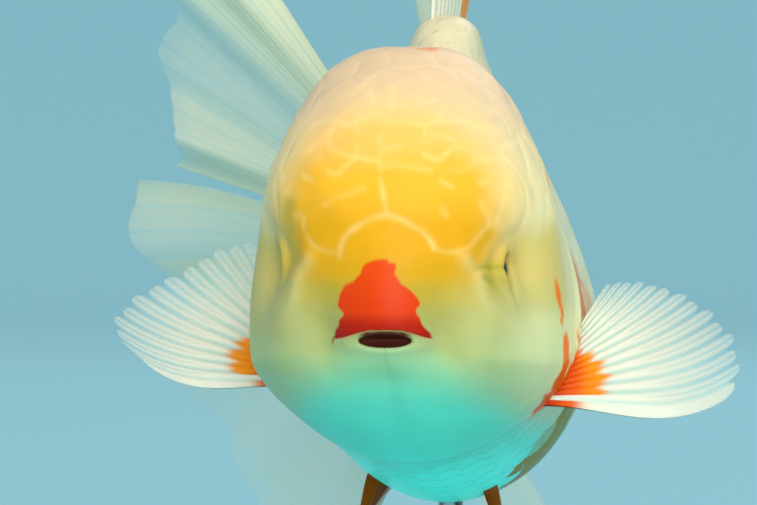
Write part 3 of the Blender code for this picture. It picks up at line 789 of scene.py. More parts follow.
class Value:
    """A number's socket in a material, with the sums that an expression adds as Math nodes."""

    def __init__(self, maker, socket):
        self.maker = maker
        self.socket = socket

    def sum_of(self, operation, first, second=0.0, clamp=False):
        settings = dict(operation=operation, use_clamp=clamp)
        return Value(self.maker, self.maker.node("Math", settings, {0: first, 1: second}).outputs[0])

    def sine(self):
        return self.sum_of("SINE", self)

    def __add__(self, other):
        return self.sum_of("ADD", self, other)

    def __radd__(self, other):
        return self.sum_of("ADD", other, self)

    def __sub__(self, other):
        return self.sum_of("SUBTRACT", self, other)

    def __rsub__(self, other):
        return self.sum_of("SUBTRACT", other, self)

    def __mul__(self, other):
        return self.sum_of("MULTIPLY", self, other)

    def __rmul__(self, other):
        return self.sum_of("MULTIPLY", other, self)

    def __truediv__(self, other):
        return self.sum_of("DIVIDE", self, other)

    def __pow__(self, other):
        return self.sum_of("POWER", self, other)

    def clamped(self):
        return self.sum_of("ADD", self, 0.0, clamp=True)

    def ease(self, low, high):
        """0 below low, 1 above high, smooth between."""
        node = self.maker.node(
            "MapRange", dict(interpolation_type="SMOOTHSTEP"), {"Value": self, 1: low, 2: high})
        return Value(self.maker, node.outputs["Result"])


class Maker:
    """Builds one material round its Principled shader."""

    def __init__(self, name, **constants):
        self.material = bpy.data.materials.new(name)
        self.material.use_nodes = True
        self.tree = self.material.node_tree
        self.shader = self.tree.nodes["Principled BSDF"]
        for word, value in constants.items():
            self.shader.inputs[word.replace("_", " ")].default_value = value

    def put(self, socket, value):
        if isinstance(value, Value):
            value = value.socket
        if isinstance(value, bpy.types.NodeSocket):
            self.tree.links.new(value, socket)
        else:
            socket.default_value = value

    def node(self, kind, settings=None, values=None):
        node = self.tree.nodes.new("ShaderNode" + kind)
        for word, value in (settings or {}).items():
            setattr(node, word, value)
        for word, value in (values or {}).items():
            self.put(node.inputs[word], value)
        return node

    def share(self, name):
        """One of the mesh's own shares."""
        return Value(self, self.node("Attribute", dict(attribute_name=name)).outputs["Fac"])

    def lie(self):
        """(side, distance back, level) on the straight fish, in millimetres."""
        return self.node("Attribute", dict(attribute_name="lie")).outputs["Vector"]

    def place(self, scale=(1, 1, 1)):
        """Object coordinates, drawn out by a scale."""
        found = self.node("TexCoord").outputs["Object"]
        return self.node("Mapping", None, {"Vector": found, "Scale": scale}).outputs["Vector"]

    def parts(self, vector):
        found = self.node("SeparateXYZ", None, {"Vector": vector}).outputs
        return [Value(self, found[k]) for k in range(3)]

    def noise(self, vector, scale, detail=2.0, roughness=0.5, distortion=0.0):
        node = self.node("TexNoise", None, {
            "Vector": vector, "Scale": scale, "Detail": detail, "Roughness": roughness,
            "Distortion": distortion})
        return Value(self, node.outputs["Fac"])

    def mix(self, first, second, share, blend="MIX"):
        """A colour between two colours, or the first blended with the second."""
        node = self.node("Mix", dict(data_type="RGBA", blend_type=blend))
        self.put(node.inputs[0], share)
        self.put(node.inputs[6], first)
        self.put(node.inputs[7], second)
        return node.outputs[2]

    def over(self, under, colour, name, strength=None):
        """A colour laid over another by one of the mesh's shares, times a strength."""
        share = self.share(name)
        return self.mix(under, colour, share * strength if strength else share)

    def ramp(self, value, low, high, stops):
        """Colours by a value's place between low and high: stops are (value, red, green, blue)."""
        node = self.node("ValToRGB")
        line = node.color_ramp
        line.interpolation = "EASE"
        while len(line.elements) < len(stops):
            line.elements.new(0.5)
        for element, (at, *colour) in zip(line.elements, stops):
            element.position = (at - low) / (high - low)
            element.color = tint(*colour)
        self.put(node.inputs["Fac"], (value - low) * (1 / (high - low)))
        return node.outputs["Color"]

    def bump(self, height, strength, distance):
        node = self.node("Bump", None, {"Height": height, "Strength": strength, "Distance": distance})
        self.put(self.shader.inputs["Normal"], node.outputs["Normal"])

    def feed(self, **sockets):
        for word, value in sockets.items():
            self.put(self.shader.inputs[word.replace("_", " ")], value)


# ---- materials ----------------------------------------------------------------------------------


def hood_colour(m, level, soft):
    """Amber low on the hood and pale peach on top, paler round its edge and along the seams."""
    hood = m.ramp(level + (soft - 0.5) * 3.0, -12, 36, (
        (-8.0, 212, 152, 16), (3.0, 230, 162, 16), (11.0, 248, 178, 40),
        (18.0, 248, 190, 92), (25.0, 240, 196, 126), (33.0, 230, 194, 144)))
    edge_tone = m.mix(tint(250, 230, 172), tint(230, 196, 154), level.ease(10, 27))
    hood = m.over(hood, edge_tone, "aside", 0.9)
    return m.over(hood, tint(255, 232, 158), "seam", 0.38)


def cheek_colour(m, side, back, level, soft):
    """Turquoise under the chin, painted as a reflection of turquoise surroundings; olive and then amber
    up the face, cream towards the gills.
    """
    cheek = m.ramp(level + (soft - 0.5) * 4.0, -34, 8, (
        (-30.0, 108, 212, 176), (-21.0, 108, 202, 164), (-17.0, 118, 178, 126),
        (-14.0, 132, 148, 84), (-10.5, 162, 152, 72), (-6.5, 190, 158, 48),
        (-3.0, 216, 160, 24), (3.0, 232, 176, 30)))
    cheek = m.over(cheek, tint(204, 200, 132), "aside", 0.6)
    cheek = m.mix(cheek, tint(230, 226, 168), side.ease(16, 24) * (0 - level).ease(6, 13) * 0.6)
    return m.mix(cheek, tint(236, 228, 172), back.ease(22, 34) * (1 - m.share("belly")) * 0.7)


def flesh_material(name, scaly):
    """Wet fish skin: hood, cap, cheeks, flank and belly by the shares that the mesh carries, with
    painted shade in the face's hollows, creases and folds, in the mouth and at the scales' roots, a
    painted highlight along the ridges under the eyes, and a painted turquoise reflection and glow on
    the belly.
    """
    m = Maker(name, Subsurface_Weight=0.16, Subsurface_Radius=(1.0, 0.6, 0.3),
              Subsurface_Scale=0.0016, Specular_IOR_Level=0.14, Coat_Roughness=0.25,
              Coat_Weight=0.06, Emission_Strength=1.0)
    side, back, level = m.parts(m.lie())
    place = m.place()
    soft = m.noise(place, 70, 3.0)
    fine = m.noise(place, 900, 2.0)
    cheek = cheek_colour(m, side, back, level, soft)
    skin = m.over(cheek, hood_colour(m, level, soft), "hood")
    # Painted shade in the face's hollows, creases and folds, and a painted highlight along the ridges
    # under the eyes.
    for word, colour, strength in (
            ("hollow", tint(176, 158, 44), 0.62),
            ("painted_crease_shade", tint(216, 156, 6), 0.85),
            ("painted_olive_crease_shade", tint(150, 150, 20), 0.6),
            ("fold", tint(176, 164, 66), 0.3),
            ("painted_ridge_highlight", tint(226, 216, 158), 0.28)):
        skin = m.over(skin, colour, word, strength)
    flank = m.ramp(level, -34, 40, (
        (-26.0, 218, 228, 180), (-6.0, 242, 234, 180), (30.0, 240, 222, 172)))
    # Belly: a painted turquoise reflection of the surroundings, brightest at the bottom as painted
    # light on the shaded underside.
    belly = m.ramp(level, -44, -14, (
        (-41.0, 78, 238, 232), (-28.0, 86, 236, 210), (-17.0, 118, 212, 168)))
    orange = m.ramp(soft, 0.3, 0.7, ((0.35, 236, 92, 0), (0.65, 255, 134, 0)))
    # The red cap darkens towards the lip's edge: painted shade where the lip rolls under.
    red = m.ramp(level + (soft - 0.5) * 1.5, -15, 0, (
        (-14.0, 148, 14, 0), (-11.6, 178, 26, 0), (-9.0, 222, 58, 0),
        (-2.0, 230, 70, 0)))
    skin = m.over(skin, flank, "trunk")
    skin = m.over(skin, belly, "belly", 0.92)
    # Brown scales: their own orange-brown, painted olive with a tint of the turquoise surroundings'
    # light.
    skin = m.over(skin, tint(150, 138, 0), "brown")
    skin = m.over(skin, orange, "orange")
    skin = m.over(skin, red, "cap")
    skin = m.over(skin, tint(226, 156, 100), "rim", 0.75)
    # Painted shade: dark brown in the mouth's hollow and under the upper lip.
    skin = m.over(skin, tint(96, 44, 34), "painted_mouth_shade")
    shade = 1 - (m.noise(place, 260, 3.0) - 0.5) * 0.10
    tone = m.node("CombineColor", None, {0: shade, 1: shade, 2: shade}).outputs["Color"]
    skin = m.mix(skin, tone, 1.0, "MULTIPLY")
    rough = 0.40 + (fine - 0.5) * 0.10 + m.share("painted_mouth_shade") * 0.2
    height = fine * 0.35 + m.noise(place, 2600, 1.0) * 0.2
    if scaly:
        rings = (m.share("growth") * 42.0).sine()
        # Painted shade at each scale's root, where it comes out from under its neighbours.
        skin = m.over(skin, tint(150, 156, 118), "under", 0.34)
        skin = m.over(skin, tint(255, 250, 228), "edge", 0.26)
        height = height * 0.3 + rings * 0.05
        rough = rough - 0.08
    # Painted light: the lower belly glows turquoise, standing for light thrown up from the turquoise
    # surroundings.
    below = m.share("belly") * (0 - level).ease(26, 42) * (1 - m.share("brown"))
    glow = m.mix(tint(0, 0, 0), tint(14, 136, 126), below)
    m.feed(Base_Color=skin, Roughness=rough, Emission_Color=glow)
    m.bump(height, 0.25, 0.0004)
    return m.material


def fin_material(name, colour, membrane):
    """Translucent fin: the mesh carries how much it hides; cross joints run over the rays."""
    m = Maker(name, Specular_IOR_Level=0.2)
    place = m.place()
    ray, along = m.share("ray"), m.share("along")
    soft = m.noise(place, 120, 2.0)
    base = m.mix(membrane, colour, ray)
    orange = m.ramp(along + (soft - 0.5) * 0.1, 0, 0.5, (
        (0.05, 204, 54, 0), (0.16, 226, 86, 0), (0.32, 244, 142, 0)))
    base = m.over(base, orange, "orange")
    base = m.over(base, tint(122, 66, 2), "brown")
    joints = ((along * 170.0).sine() * 0.5 + 0.5) ** 6.0
    alpha = m.share("cover") + (soft - 0.5) * 0.10
    m.feed(Base_Color=base, Alpha=alpha.clamped(), Roughness=0.5 - ray * 0.08)
    m.bump(ray * 0.6 - joints * ray * 0.12, 0.3, 0.0004)
    return m.material


def eye_material():
    """A glossy eye: black pupil, gold ring and a dark rim, by the angle off its axis."""
    m = Maker("glassy_eye", Roughness=0.15, Specular_IOR_Level=0.45, Coat_Weight=0.6,
              Coat_Roughness=0.03)
    angle = m.share("angle")
    streaks = m.noise(m.place(), 900, 2.0)
    iris = m.mix(tint(196, 148, 60), tint(120, 84, 30), streaks.ease(0.35, 0.65))
    colour = m.mix(tint(4, 4, 5), iris, angle.ease(0.50, 0.54))
    colour = m.mix(colour, tint(26, 18, 12), angle.ease(0.86, 1.0))
    m.feed(Base_Color=colour, Metallic=angle.ease(0.50, 0.54) * (1 - angle.ease(0.86, 1.0)) * 0.7)
    return m.material


def walnut_material():
    """Oiled walnut, its grain along the base: stretched noise for the bands and for the pores."""
    m = Maker("oiled_walnut", Specular_IOR_Level=0.45)
    bands = m.noise(m.place((60, 7, 90)), 1.0, 4.0, 0.55, 0.6)
    streaks = m.noise(m.place((420, 16, 420)), 1.0, 3.0)
    pores = m.noise(m.place((1900, 90, 1900)), 1.0, 1.0).ease(0.62, 0.74)
    wood = m.ramp(bands, 0.2, 0.8, (
        (0.3, 74, 42, 24), (0.48, 104, 64, 38), (0.62, 128, 84, 52)))
    wood = m.mix(wood, tint(62, 34, 20), streaks.ease(0.45, 0.75) * 0.5)
    wood = m.mix(wood, tint(34, 18, 10), pores * 0.7)
    m.feed(Base_Color=wood, Roughness=0.36 + streaks * 0.16 + pores * 0.2)
    m.bump(streaks * 0.3 - pores * 0.7, 0.3, 0.0003)
    return m.material


def steel_material():
    """Brushed steel: fine lines round the rod."""
    m = Maker("brushed_steel", Metallic=1.0)
    lines = m.noise(m.place((40, 40, 5200)), 1.0, 2.0)
    steel = m.mix(tint(186, 188, 190), tint(212, 213, 214), lines)
    m.feed(Base_Color=steel, Roughness=0.2 + lines * 0.2)
    m.bump(lines, 0.12, 0.0001)
    return m.material


def plain_material(name, colour, glow, strength):
    """One even matt colour with an even glow."""
    m = Maker(name, Base_Color=colour, Roughness=0.9, Specular_IOR_Level=0.0,
              Emission_Color=glow, Emission_Strength=strength)
    return m.material


# ---- the skin -----------------------------------------------------------------------------------


def lips_to_face(reach, turn):
    """(run, turn) of points round the mouth. reach is 0 on the mouth's edge and 1 at LIP_SHARE.

    Seen from ahead each ring is part mouth outline and part ring of the dome. Its points are read
    back as the run and turn at which the dome has them.
    """
    corner = MOUTH_CORNER_LEVEL
    ring_x, ring_z = ring(np.full(turn.shape, DOME_LENGTH), turn)
    sin, cos = np.sin(turn), np.cos(turn)
    mouth_x = MOUTH_HALF_WIDTH * power(sin, 0.9)
    upper = (lip_arch(mouth_x) - 0.14 - corner) * np.abs(cos) ** 0.75
    lower = -MOUTH_DROP * np.abs(cos) ** 0.95
    mouth_z = corner - MOUTH_LEVEL + np.where(cos > 0, upper, lower)
    x = (1 - reach) * mouth_x + reach * LIP_SHARE * ring_x
    z = (1 - reach) * mouth_z + reach * LIP_SHARE * (ring_z - MOUTH_LEVEL)
    table = np.linspace(-math.pi, math.pi, 4001)
    table_x, table_z = ring(np.full(table.shape, DOME_LENGTH), table)
    angle = np.unwrap(np.arctan2(table_x, table_z - MOUTH_LEVEL))
    radius = np.hypot(table_x, table_z - MOUTH_LEVEL)
    here = np.arctan2(x, z)
    spread = np.hypot(x, z) / np.interp(here, angle, radius)
    return DOME_SHARE * 2 / math.pi * np.arcsin(np.clip(spread, 0, 1)), np.interp(here, angle, table)


def skin_grid():
    """(run, turn) of the skin's rings over lips, dome, trunk and stalk, and each lip ring's reach."""
    turn_line = np.linspace(-math.pi, math.pi, SKIN_COLUMNS, endpoint=False)
    lips = np.linspace(0, 1, LIP_ROWS, endpoint=False) ** 1.25
    reach, turn = np.meshgrid(lips, turn_line, indexing="ij")
    lip_run, lip_turn = lips_to_face(reach, turn)
    start = DOME_SHARE * 2 / math.pi * math.asin(LIP_SHARE)
    dome = np.linspace(start, DOME_SHARE, DOME_ROWS, endpoint=False)
    backs = np.concatenate([np.linspace(30, 50, 34, endpoint=False), np.linspace(50, 115.6, 42)])
    trunk = run_at(backs, np.zeros(len(backs)))
    ends = 1 - (1 - trunk[-1]) * np.linspace(1, 0, 8)[1:-1] ** 2
    run_line = np.concatenate([dome, trunk, ends])
    run, back_turn = np.meshgrid(run_line, turn_line, indexing="ij")
    return np.concatenate([lip_run, run]), np.concatenate([lip_turn, back_turn]), reach


def smooth_pinches(surface, bare, turn):
    """Evens out the rings where they pinch: under the chin and belly, and along the head's sides."""
    under = bell(np.abs(turn) - math.pi, 0.16) * ease(-bare[..., 2], 17, 22)
    beside = 0.9 * bell(np.abs(turn) - math.pi / 2, 0.10) * ease(-bare[..., 1], -30, -24)
    under = np.maximum(under, beside)[..., None]
    for _ in range(80):
        surface += 0.5 * under * (np.roll(surface, 1, 1) + np.roll(surface, -1, 1) - 2 * surface)


def mouth_hollow(edge):
    """Rings that narrow from the mouth's edge to a rounded end behind it."""
    depth = 1 - np.linspace(0.08, 1, HOLLOW_ROWS, endpoint=False)[:, None]
    middle = edge.mean(axis=1, keepdims=True)
    shrink = (1 - depth**2)[..., None]
    hollow = middle + (edge - middle) * shrink
    hollow[..., 1] += 3.6 * depth**0.8
    return hollow


def painted_mouth_shade_share(at):
    """1 where painted shade darkens the mouth: in its hollow and under the upper lip, 0 elsewhere."""
    painted_mouth_shade = np.zeros(at.shape[:-1])
    painted_mouth_shade[:HOLLOW_ROWS] = 1
    painted_mouth_shade[HOLLOW_ROWS:HOLLOW_ROWS + 2] = ((0.85,), (0.25,))
    over = at[..., 2] - lip_arch(at[..., 0])
    shadow = ease(-over, 0.1, 0.2) * ease(-np.abs(at[..., 0]), -4.5, -3.1)
    shadow *= ease(at[..., 2], MOUTH_CORNER_LEVEL - 0.3, MOUTH_CORNER_LEVEL + 0.2)
    return np.maximum(painted_mouth_shade, shadow)


def skin_places(rows):
    """Places on the map of each triangle's corners: the rings in a strip, then the two end fans."""
    row, column = grid_corners(rows, SKIN_COLUMNS, True)
    strip = np.stack([column / SKIN_COLUMNS, row / (rows - 1)], -1)
    turns = np.arange(SKIN_COLUMNS)
    fan = np.stack([turns + 0.5, turns + 1, turns], -1) / SKIN_COLUMNS
    first = np.stack([fan, np.zeros(fan.shape)], -1)
    last = np.stack([fan[:, [0, 2, 1]], np.ones(fan.shape)], -1)
    return np.concatenate([strip[:, [0, 1, 2]], strip[:, [0, 2, 3]], first, last])


def make_skin(material):
    """One skin from the mouth's inside over lips, head and trunk to the end of the tail stalk.

    Rings follow each other: the mouth's hollow, the lips, the dome of the head and the trunk. Each
    point is moved along the surface's normal by the relief and, under the scales, inwards.
    """
    run, turn, reach = skin_grid()
    bare = flesh(run, turn)
    normal = flesh_normal(run, turn)
    lift = head_relief(bare) + lip_relief(bare)
    lift -= COAT_DEPTH * ease(behind_gill(bare), 0.0, 1.0)
    lift[:LIP_ROWS] -= 0.5 * bell(reach * 14, 0.5)
    surface = bare + normal * lift[..., None]
    smooth_pinches(surface, bare, turn)
    straight_points = np.concatenate([mouth_hollow(surface[:1]), surface])
    at = np.concatenate([np.repeat(bare[:1], HOLLOW_ROWS, 0), bare])
    shares = markings(at)
    shares["painted_mouth_shade"] = painted_mouth_shade_share(at)
    shares["cap"][:HOLLOW_ROWS] = 0
    points, triangles = closed_rings(posed(straight_points))
    shares = {word: np.append(v.ravel(), [v[0, 0], v[-1, 0]]) for word, v in shares.items()}
    lie = np.concatenate([at.reshape(-1, 3), at[0, :1], at[-1, :1]])
    piece = make_piece("skin", points, triangles, skin_places(len(at)), shares, lie)
    finish_piece(piece, material, "skin", "head", "wen", "lips", "gill_cover_left",
                 "gill_cover_right", "trunk", "tail_stalk")


def scale_roots():
    """(distance back, turn, length, column, row) of each scale that isn't under a gill cover."""
    starts = [SCALES_FROM]
    while starts[-1] < SCALES_TO:
        shrink = float(smooth(((20, 1.0), (80, 1.0), (112, 0.66)), starts[-1]))
        starts.append(starts[-1] + SCALE_STEP * shrink)
    starts = np.array(starts)
    steps = np.gradient(starts)
    rows = (np.arange(SCALE_ROWS) + 0.5) / SCALE_ROWS * TURN - math.pi
    column, row = np.meshgrid(np.arange(len(starts)), np.arange(SCALE_ROWS), indexing="ij")
    column, row = column.ravel(), row.ravel()
    rng = np.random.default_rng(5)
    root = starts[column] + np.where(row % 2 == 1, 0.5 * steps[column], 0)
    root = root + rng.normal(0, 0.10, len(column))
    turn = rows[row] + rng.normal(0, 0.006, len(column))
    length = steps[column] * SCALE_LENGTH / SCALE_STEP
    middle = flesh(run_at(root, turn), turn)
    keep = (behind_gill(middle) + 0.55 * length > 0.2) & (root < 110.5)
    keep &= (middle[:, 1] > 33) | (middle[:, 2] < -14)
    return root[keep], turn[keep], length[keep], column[keep], row[keep]


def make_scales(material):
    """Overlapping scales over the trunk, in rows along it whose neighbours are half a step apart.

    One scale is a patch of the surface: across it the turn changes, along it the distance back. It
    lifts from under its neighbours to a round free edge, which is tucked down to the skin.
    """
    across_count, along_count = SCALE_SHAPE
    u, v = np.meshgrid(np.linspace(-1, 1, across_count), np.linspace(0, 1, along_count), indexing="ij")
    body, tuck = np.clip(v / 0.86, 0, 1), ease(v, 0.86, 1.0)
    root, turn, length, column, row = scale_roots()
    round_edge = 0.50 + 0.50 * np.sqrt(np.clip(1 - (0.96 * u) ** 2, 0, 1))
    back = root[:, None, None] + length[:, None, None] * body * round_edge
    half = TURN / SCALE_ROWS * 1.02
    narrow = 0.80 + 0.20 * np.sin(math.pi * np.clip(body, 0, 1))
    at_turn = turn[:, None, None] + half * u * narrow
    run = run_at(back, at_turn)
    bare = flesh(run, at_turn)
    normal = flesh_normal(run, at_turn)
    lift = -0.55 + 0.50 * body**0.9 + 0.07 * (1 - u**2) * body - 0.34 * tuck
    high = ease(bare[..., 2], 26, 33) * ease(-bare[..., 1], -68, -56)
    calm = np.maximum(high, ease(-bare[..., 2], 17, 27) * ease(-bare[..., 1], -68, -54))
    lift = lift + 0.92 * calm * (0.05 * body - 0.10 - 0.03 * tuck - lift)
    bulge = head_relief(bare) * 0.6
    straight_points = bare + normal * (lift + bulge)[..., None]
    shares = markings(bare)
    shares["brown"] = np.repeat(shares["brown"][:, 4:5, 3:4], across_count, 1).repeat(along_count, 2)
    shares["trunk"] = np.ones(back.shape)
    shares["painted_mouth_shade"] = np.zeros(back.shape)
    shares["edge"] = ease(body, 0.80, 0.98) * (1 - 0.85 * calm)
    growth = np.hypot(u * 0.5, body)
    shares["growth"] = np.broadcast_to(growth, back.shape)
    # under: painted shade where each scale comes out from under its neighbours, less on the calm hump
    # and belly.
    shares["under"] = (1 - ease(growth, 0.46, 0.70)) * (1 - calm)
    total = len(root)
    one = grid_faces(across_count, along_count, False)
    stride = across_count * along_count
    faces = (one[None, :, ::-1] + (np.arange(total) * stride)[:, None, None]).reshape(-1, 4)
    centre = np.stack([(row + 0.5) / SCALE_ROWS, (column + 0.5) / (column.max() + 1)], -1)
    patch = 0.003 * np.stack([u / 2, v - 0.5], -1).reshape(-1, 2)
    spots = (centre[:, None] + patch[None]).reshape(-1, 2)
    piece = make_piece("scales", posed(straight_points).reshape(-1, 3), faces, spots[faces],
                       shares, bare.reshape(-1, 3))
    finish_piece(piece, material, "skin")


# ---- fins ---------------------------------------------------------------------------------------


def ray_share(across, along, count, splits, gap=0.20):
    """1 on the middle of a ray, 0 on the membrane. Each ray parts in two at each of the splits."""
    cell = across * count
    off = np.abs(cell % 1 - 0.5)
    for split in splits:
        off = np.abs(off - gap * ease(along, split, split + 0.38))
        gap *= 0.46
    width = 0.34 * (1 - along) ** 1.6 + 0.19
    return 1 - ease(off, 0.1 * width, 1.4 * width)


def make_fin(name, surface, count, shape, splits, material, node, cover, notch=0.05, flame=None,
             brown=None, edge=0.0, ridge=0.2, root=0.12):
    """A closed thin shell round a fin's surface, thick on the rays and thin between them.

    The margin is drawn in between the rays' tips. cover, flame and brown give those shares by
    (across, along, ray); edge is the share of the fin, from its leading side, where rays stand close.
    """
    columns, rows = shape
    across, along = np.meshgrid(
        np.linspace(0, 1, columns), np.linspace(0, 1, rows) ** 0.9, indexing="ij")
    ray = ray_share(across, along, count, splits)
    lead = 1 - ease(across, 0.6 * edge, edge + 0.02)
    ray = np.maximum(ray, lead * 0.9)
    between = np.abs(2 * ((across * count) % 1) - 1)
    uneven = 0.5 + 0.5 * np.sin(41 * across + 9 * across**2)
    ragged = 1 - notch * between**3 - 0.35 * notch * uneven
    reach = along * (1 + (ragged - 1) * along**3)

    middle = surface(across, reach)
    normal = outward(surface, across, np.maximum(reach, 0.004), 0.002)
    half = (0.10 + ridge * ray) * (1 - 0.55 * along)
    half = half + root * (1 - ease(along, 0, 0.12 + 0.3 * root))
    half = half * np.maximum(1 - ease(along, 0.97, 1.0) * 0.8, 0.2)
    upper, lower = middle + normal * half[..., None], middle - normal * half[..., None]
    points = np.concatenate([upper.reshape(-1, 3), lower.reshape(-1, 3)])
    top = grid_faces(columns, rows, False)
    stride = columns * rows
    bottom = top[:, ::-1] + stride
    border = np.concatenate([
        np.arange(columns) * rows,
        (columns - 1) * rows + np.arange(1, rows),
        (np.arange(columns - 1)[::-1]) * rows + rows - 1,
        np.arange(1, rows - 1)[::-1],
    ])
    following = np.roll(border, -1)
    sides = np.stack([border, following, following + stride, border + stride], -1)
    faces = np.concatenate([top, bottom, sides])
    shares = {"ray": ray, "along": along}
    shares["orange"] = flame(across, along, ray) if flame else np.zeros(ray.shape)
    shares["brown"] = brown(across, along, ray) if brown else np.zeros(ray.shape)
    marked = np.maximum(shares["orange"], shares["brown"])
    hiding = np.maximum(cover(across, along, ray), marked * 0.97)
    shares["cover"] = hiding * (1 - 0.3 * ease(along, 0.9, 1.0))
    shares = {word: np.concatenate([v.ravel(), v.ravel()]) for word, v in shares.items()}
    piece = make_piece(name, posed(points), faces, None, shares)
    finish_piece(piece, material, "fin", node)


def pectoral_flame(side):
    """Orange at the root: short on the leading ray, then a white ray, then a ragged fan."""

    def share(across, along, ray):
        reach = 0.34 if side > 0 else 0.38
        tongue = reach - 0.9 * (across - 0.3) ** 2
        tongue += 0.02 * np.sin(50 * across + side) + 0.012 * np.sin(97 * across)
        fan = 1 - ease(along, tongue - 0.04, tongue + 0.03)
        lead = (1 - ease(along, reach - 0.17, reach - 0.06)) * (1 - ease(across, 0.05, 0.07))
        return np.maximum(fan * ease(across, 0.115, 0.13), lead) * (1 - ease(across, 0.6, 0.8))

    return share


def paired_cover(across, along, ray):
    """Firm towards the root, where rays and membrane close up, and nearly clear at the tips."""
    firm = 1 - ease(along, 0.35, 1.0)
    film = 0.08 + 0.60 * firm
    lead = 0.28 * (1 - ease(across, 0.03, 0.12))
    rays = ray * (0.25 + 0.10 * firm)
    return np.clip(film + rays + lead + 0.3 * (1 - ease(along, 0.1, 0.4)), 0.05, 0.97)


def tail_cover(sign):
    """Milky along the upper edge, with a band over each fold; thin and clear below and behind."""

    def cover(across, along, ray):
        film = 0.08 + 0.18 * (1 - along)
        if sign > 0:
            film = film + 0.40 * (1 - ease(across, 0.12, 0.46)) + 0.24 * ease(across, 0.60, 0.9)
            film = film + 0.14 * (1 - ease(across, 0.02, 0.06))
        else:
            film = film + 0.28 * bell(across - 0.97, 0.04) + 0.22 * bell(across - 0.80, 0.02)
            film = film + 0.08 * bell(across - 0.05, 0.10)
        streak = 0.5 + 0.5 * np.sin(23 * across + 3 * np.sin(7 * across))
        return np.clip(film + 0.08 * ray + 0.06 * streak, 0, 0.95)

    return cover


def back_cover(across, along, ray):
    """Milky, and firm at the root."""
    return np.clip(0.55 + 0.25 * ray + 0.4 * (1 - ease(along, 0.15, 0.6)), 0, 0.97)


def back_streak(across, along, ray):
    """An orange streak up the middle rays, wider towards the margin."""
    return 0.98 * ease(0.05 + 0.10 * along - np.abs(across - 0.58), -0.02, 0.02) * ease(along, 0.1, 0.2)


def pelvic_brown(across, along, ray):
    """Brown over the leading rays' inner part."""
    return (1 - ease(across, 0.5, 0.75)) * (1 - ease(along, 0.3, 0.7))


def make_fins():
    """Each fin with its number of rays, its grid, where the rays part and how it is marked."""
    white = tint(230, 224, 202)
    thin_fin = fin_material("fin_membrane", white, tint(206, 226, 208))
    tail_fin = fin_material("tail_membrane", tint(226, 226, 188), tint(214, 226, 196))
    back_fin = fin_material("back_fin", white, tint(224, 226, 190))
    for side, word in ((-1, "right"), (1, "left")):
        make_fin(f"pectoral_{word}", lambda u, v: pectoral(u, v, side), 14, (300, 64), (0.30,),
                 thin_fin, f"pectoral_fin_{word}", paired_cover, 0.055, pectoral_flame(side), edge=0.07)
        make_fin(f"pelvic_{word}", lambda u, v: pelvic(u, v, side), 9, (180, 48), (0.34,),
                 thin_fin, f"pelvic_fin_{word}", paired_cover, 0.05,
                 brown=pelvic_brown, edge=0.09, root=1.1)
        make_fin(f"anal_{word}", lambda u, v: anal(u, v, side), 7, (140, 40), (0.34,),
                 thin_fin, f"anal_fin_{word}", paired_cover, 0.05, edge=0.09)
        for place, lobe in TAIL_LOBES.items():
            make_fin(f"tail_{place}_lobe_{word}", lambda u, v: tail_lobe(u, v, side, lobe), 17,
                     (340, 84), (0.2, 0.5), tail_fin, f"tail_{place}_{word}",
                     tail_cover(lobe["sign"]), 0.006, edge=0.05, ridge=0.08)
    make_fin("dorsal", dorsal, 16, (300, 44), (0.5,), back_fin, "dorsal_fin", back_cover, 0.05,
             flame=back_streak, edge=0.03)


# ---- eyes and stand -----------------------------------------------------------------------------


def make_eyes():
    """Each eye is a ball about its outward axis with the cornea's swelling over iris and pupil."""
    material = eye_material()
    for side, word in ((-1, "right"), (1, "left")):
        around, off = np.meshgrid(
            np.linspace(0, TURN, 72, endpoint=False), np.linspace(0, math.pi, 61)[1:-1])
        radius = EYE_BALL + 0.35 * bell(off, 0.75)
        axis = heading(side * (90 + EYE_LOOK), 4.0)
        up = np.array((0.0, 0.0, 1.0)) - axis * axis[2]
        up /= np.linalg.norm(up)
        across = np.cross(up, axis)
        ball = (np.cos(off)[..., None] * axis + np.sin(off)[..., None]
                * (np.cos(around)[..., None] * across + np.sin(around)[..., None] * up))
        centre = np.array((side * EYE_SEAT[0], EYE_SEAT[1], EYE_PLACE[2] - side * EYE_TILT))
        points = centre + radius[..., None] * ball
        ball_points, triangles = closed_rings(posed(points))
        angle = np.append(off.ravel(), [0, math.pi])
        piece = make_piece(f"eyeball_{word}", ball_points, triangles[:, ::-1], None, {"angle": angle})
        finish_piece(piece, material, "eye", f"eye_{word}")


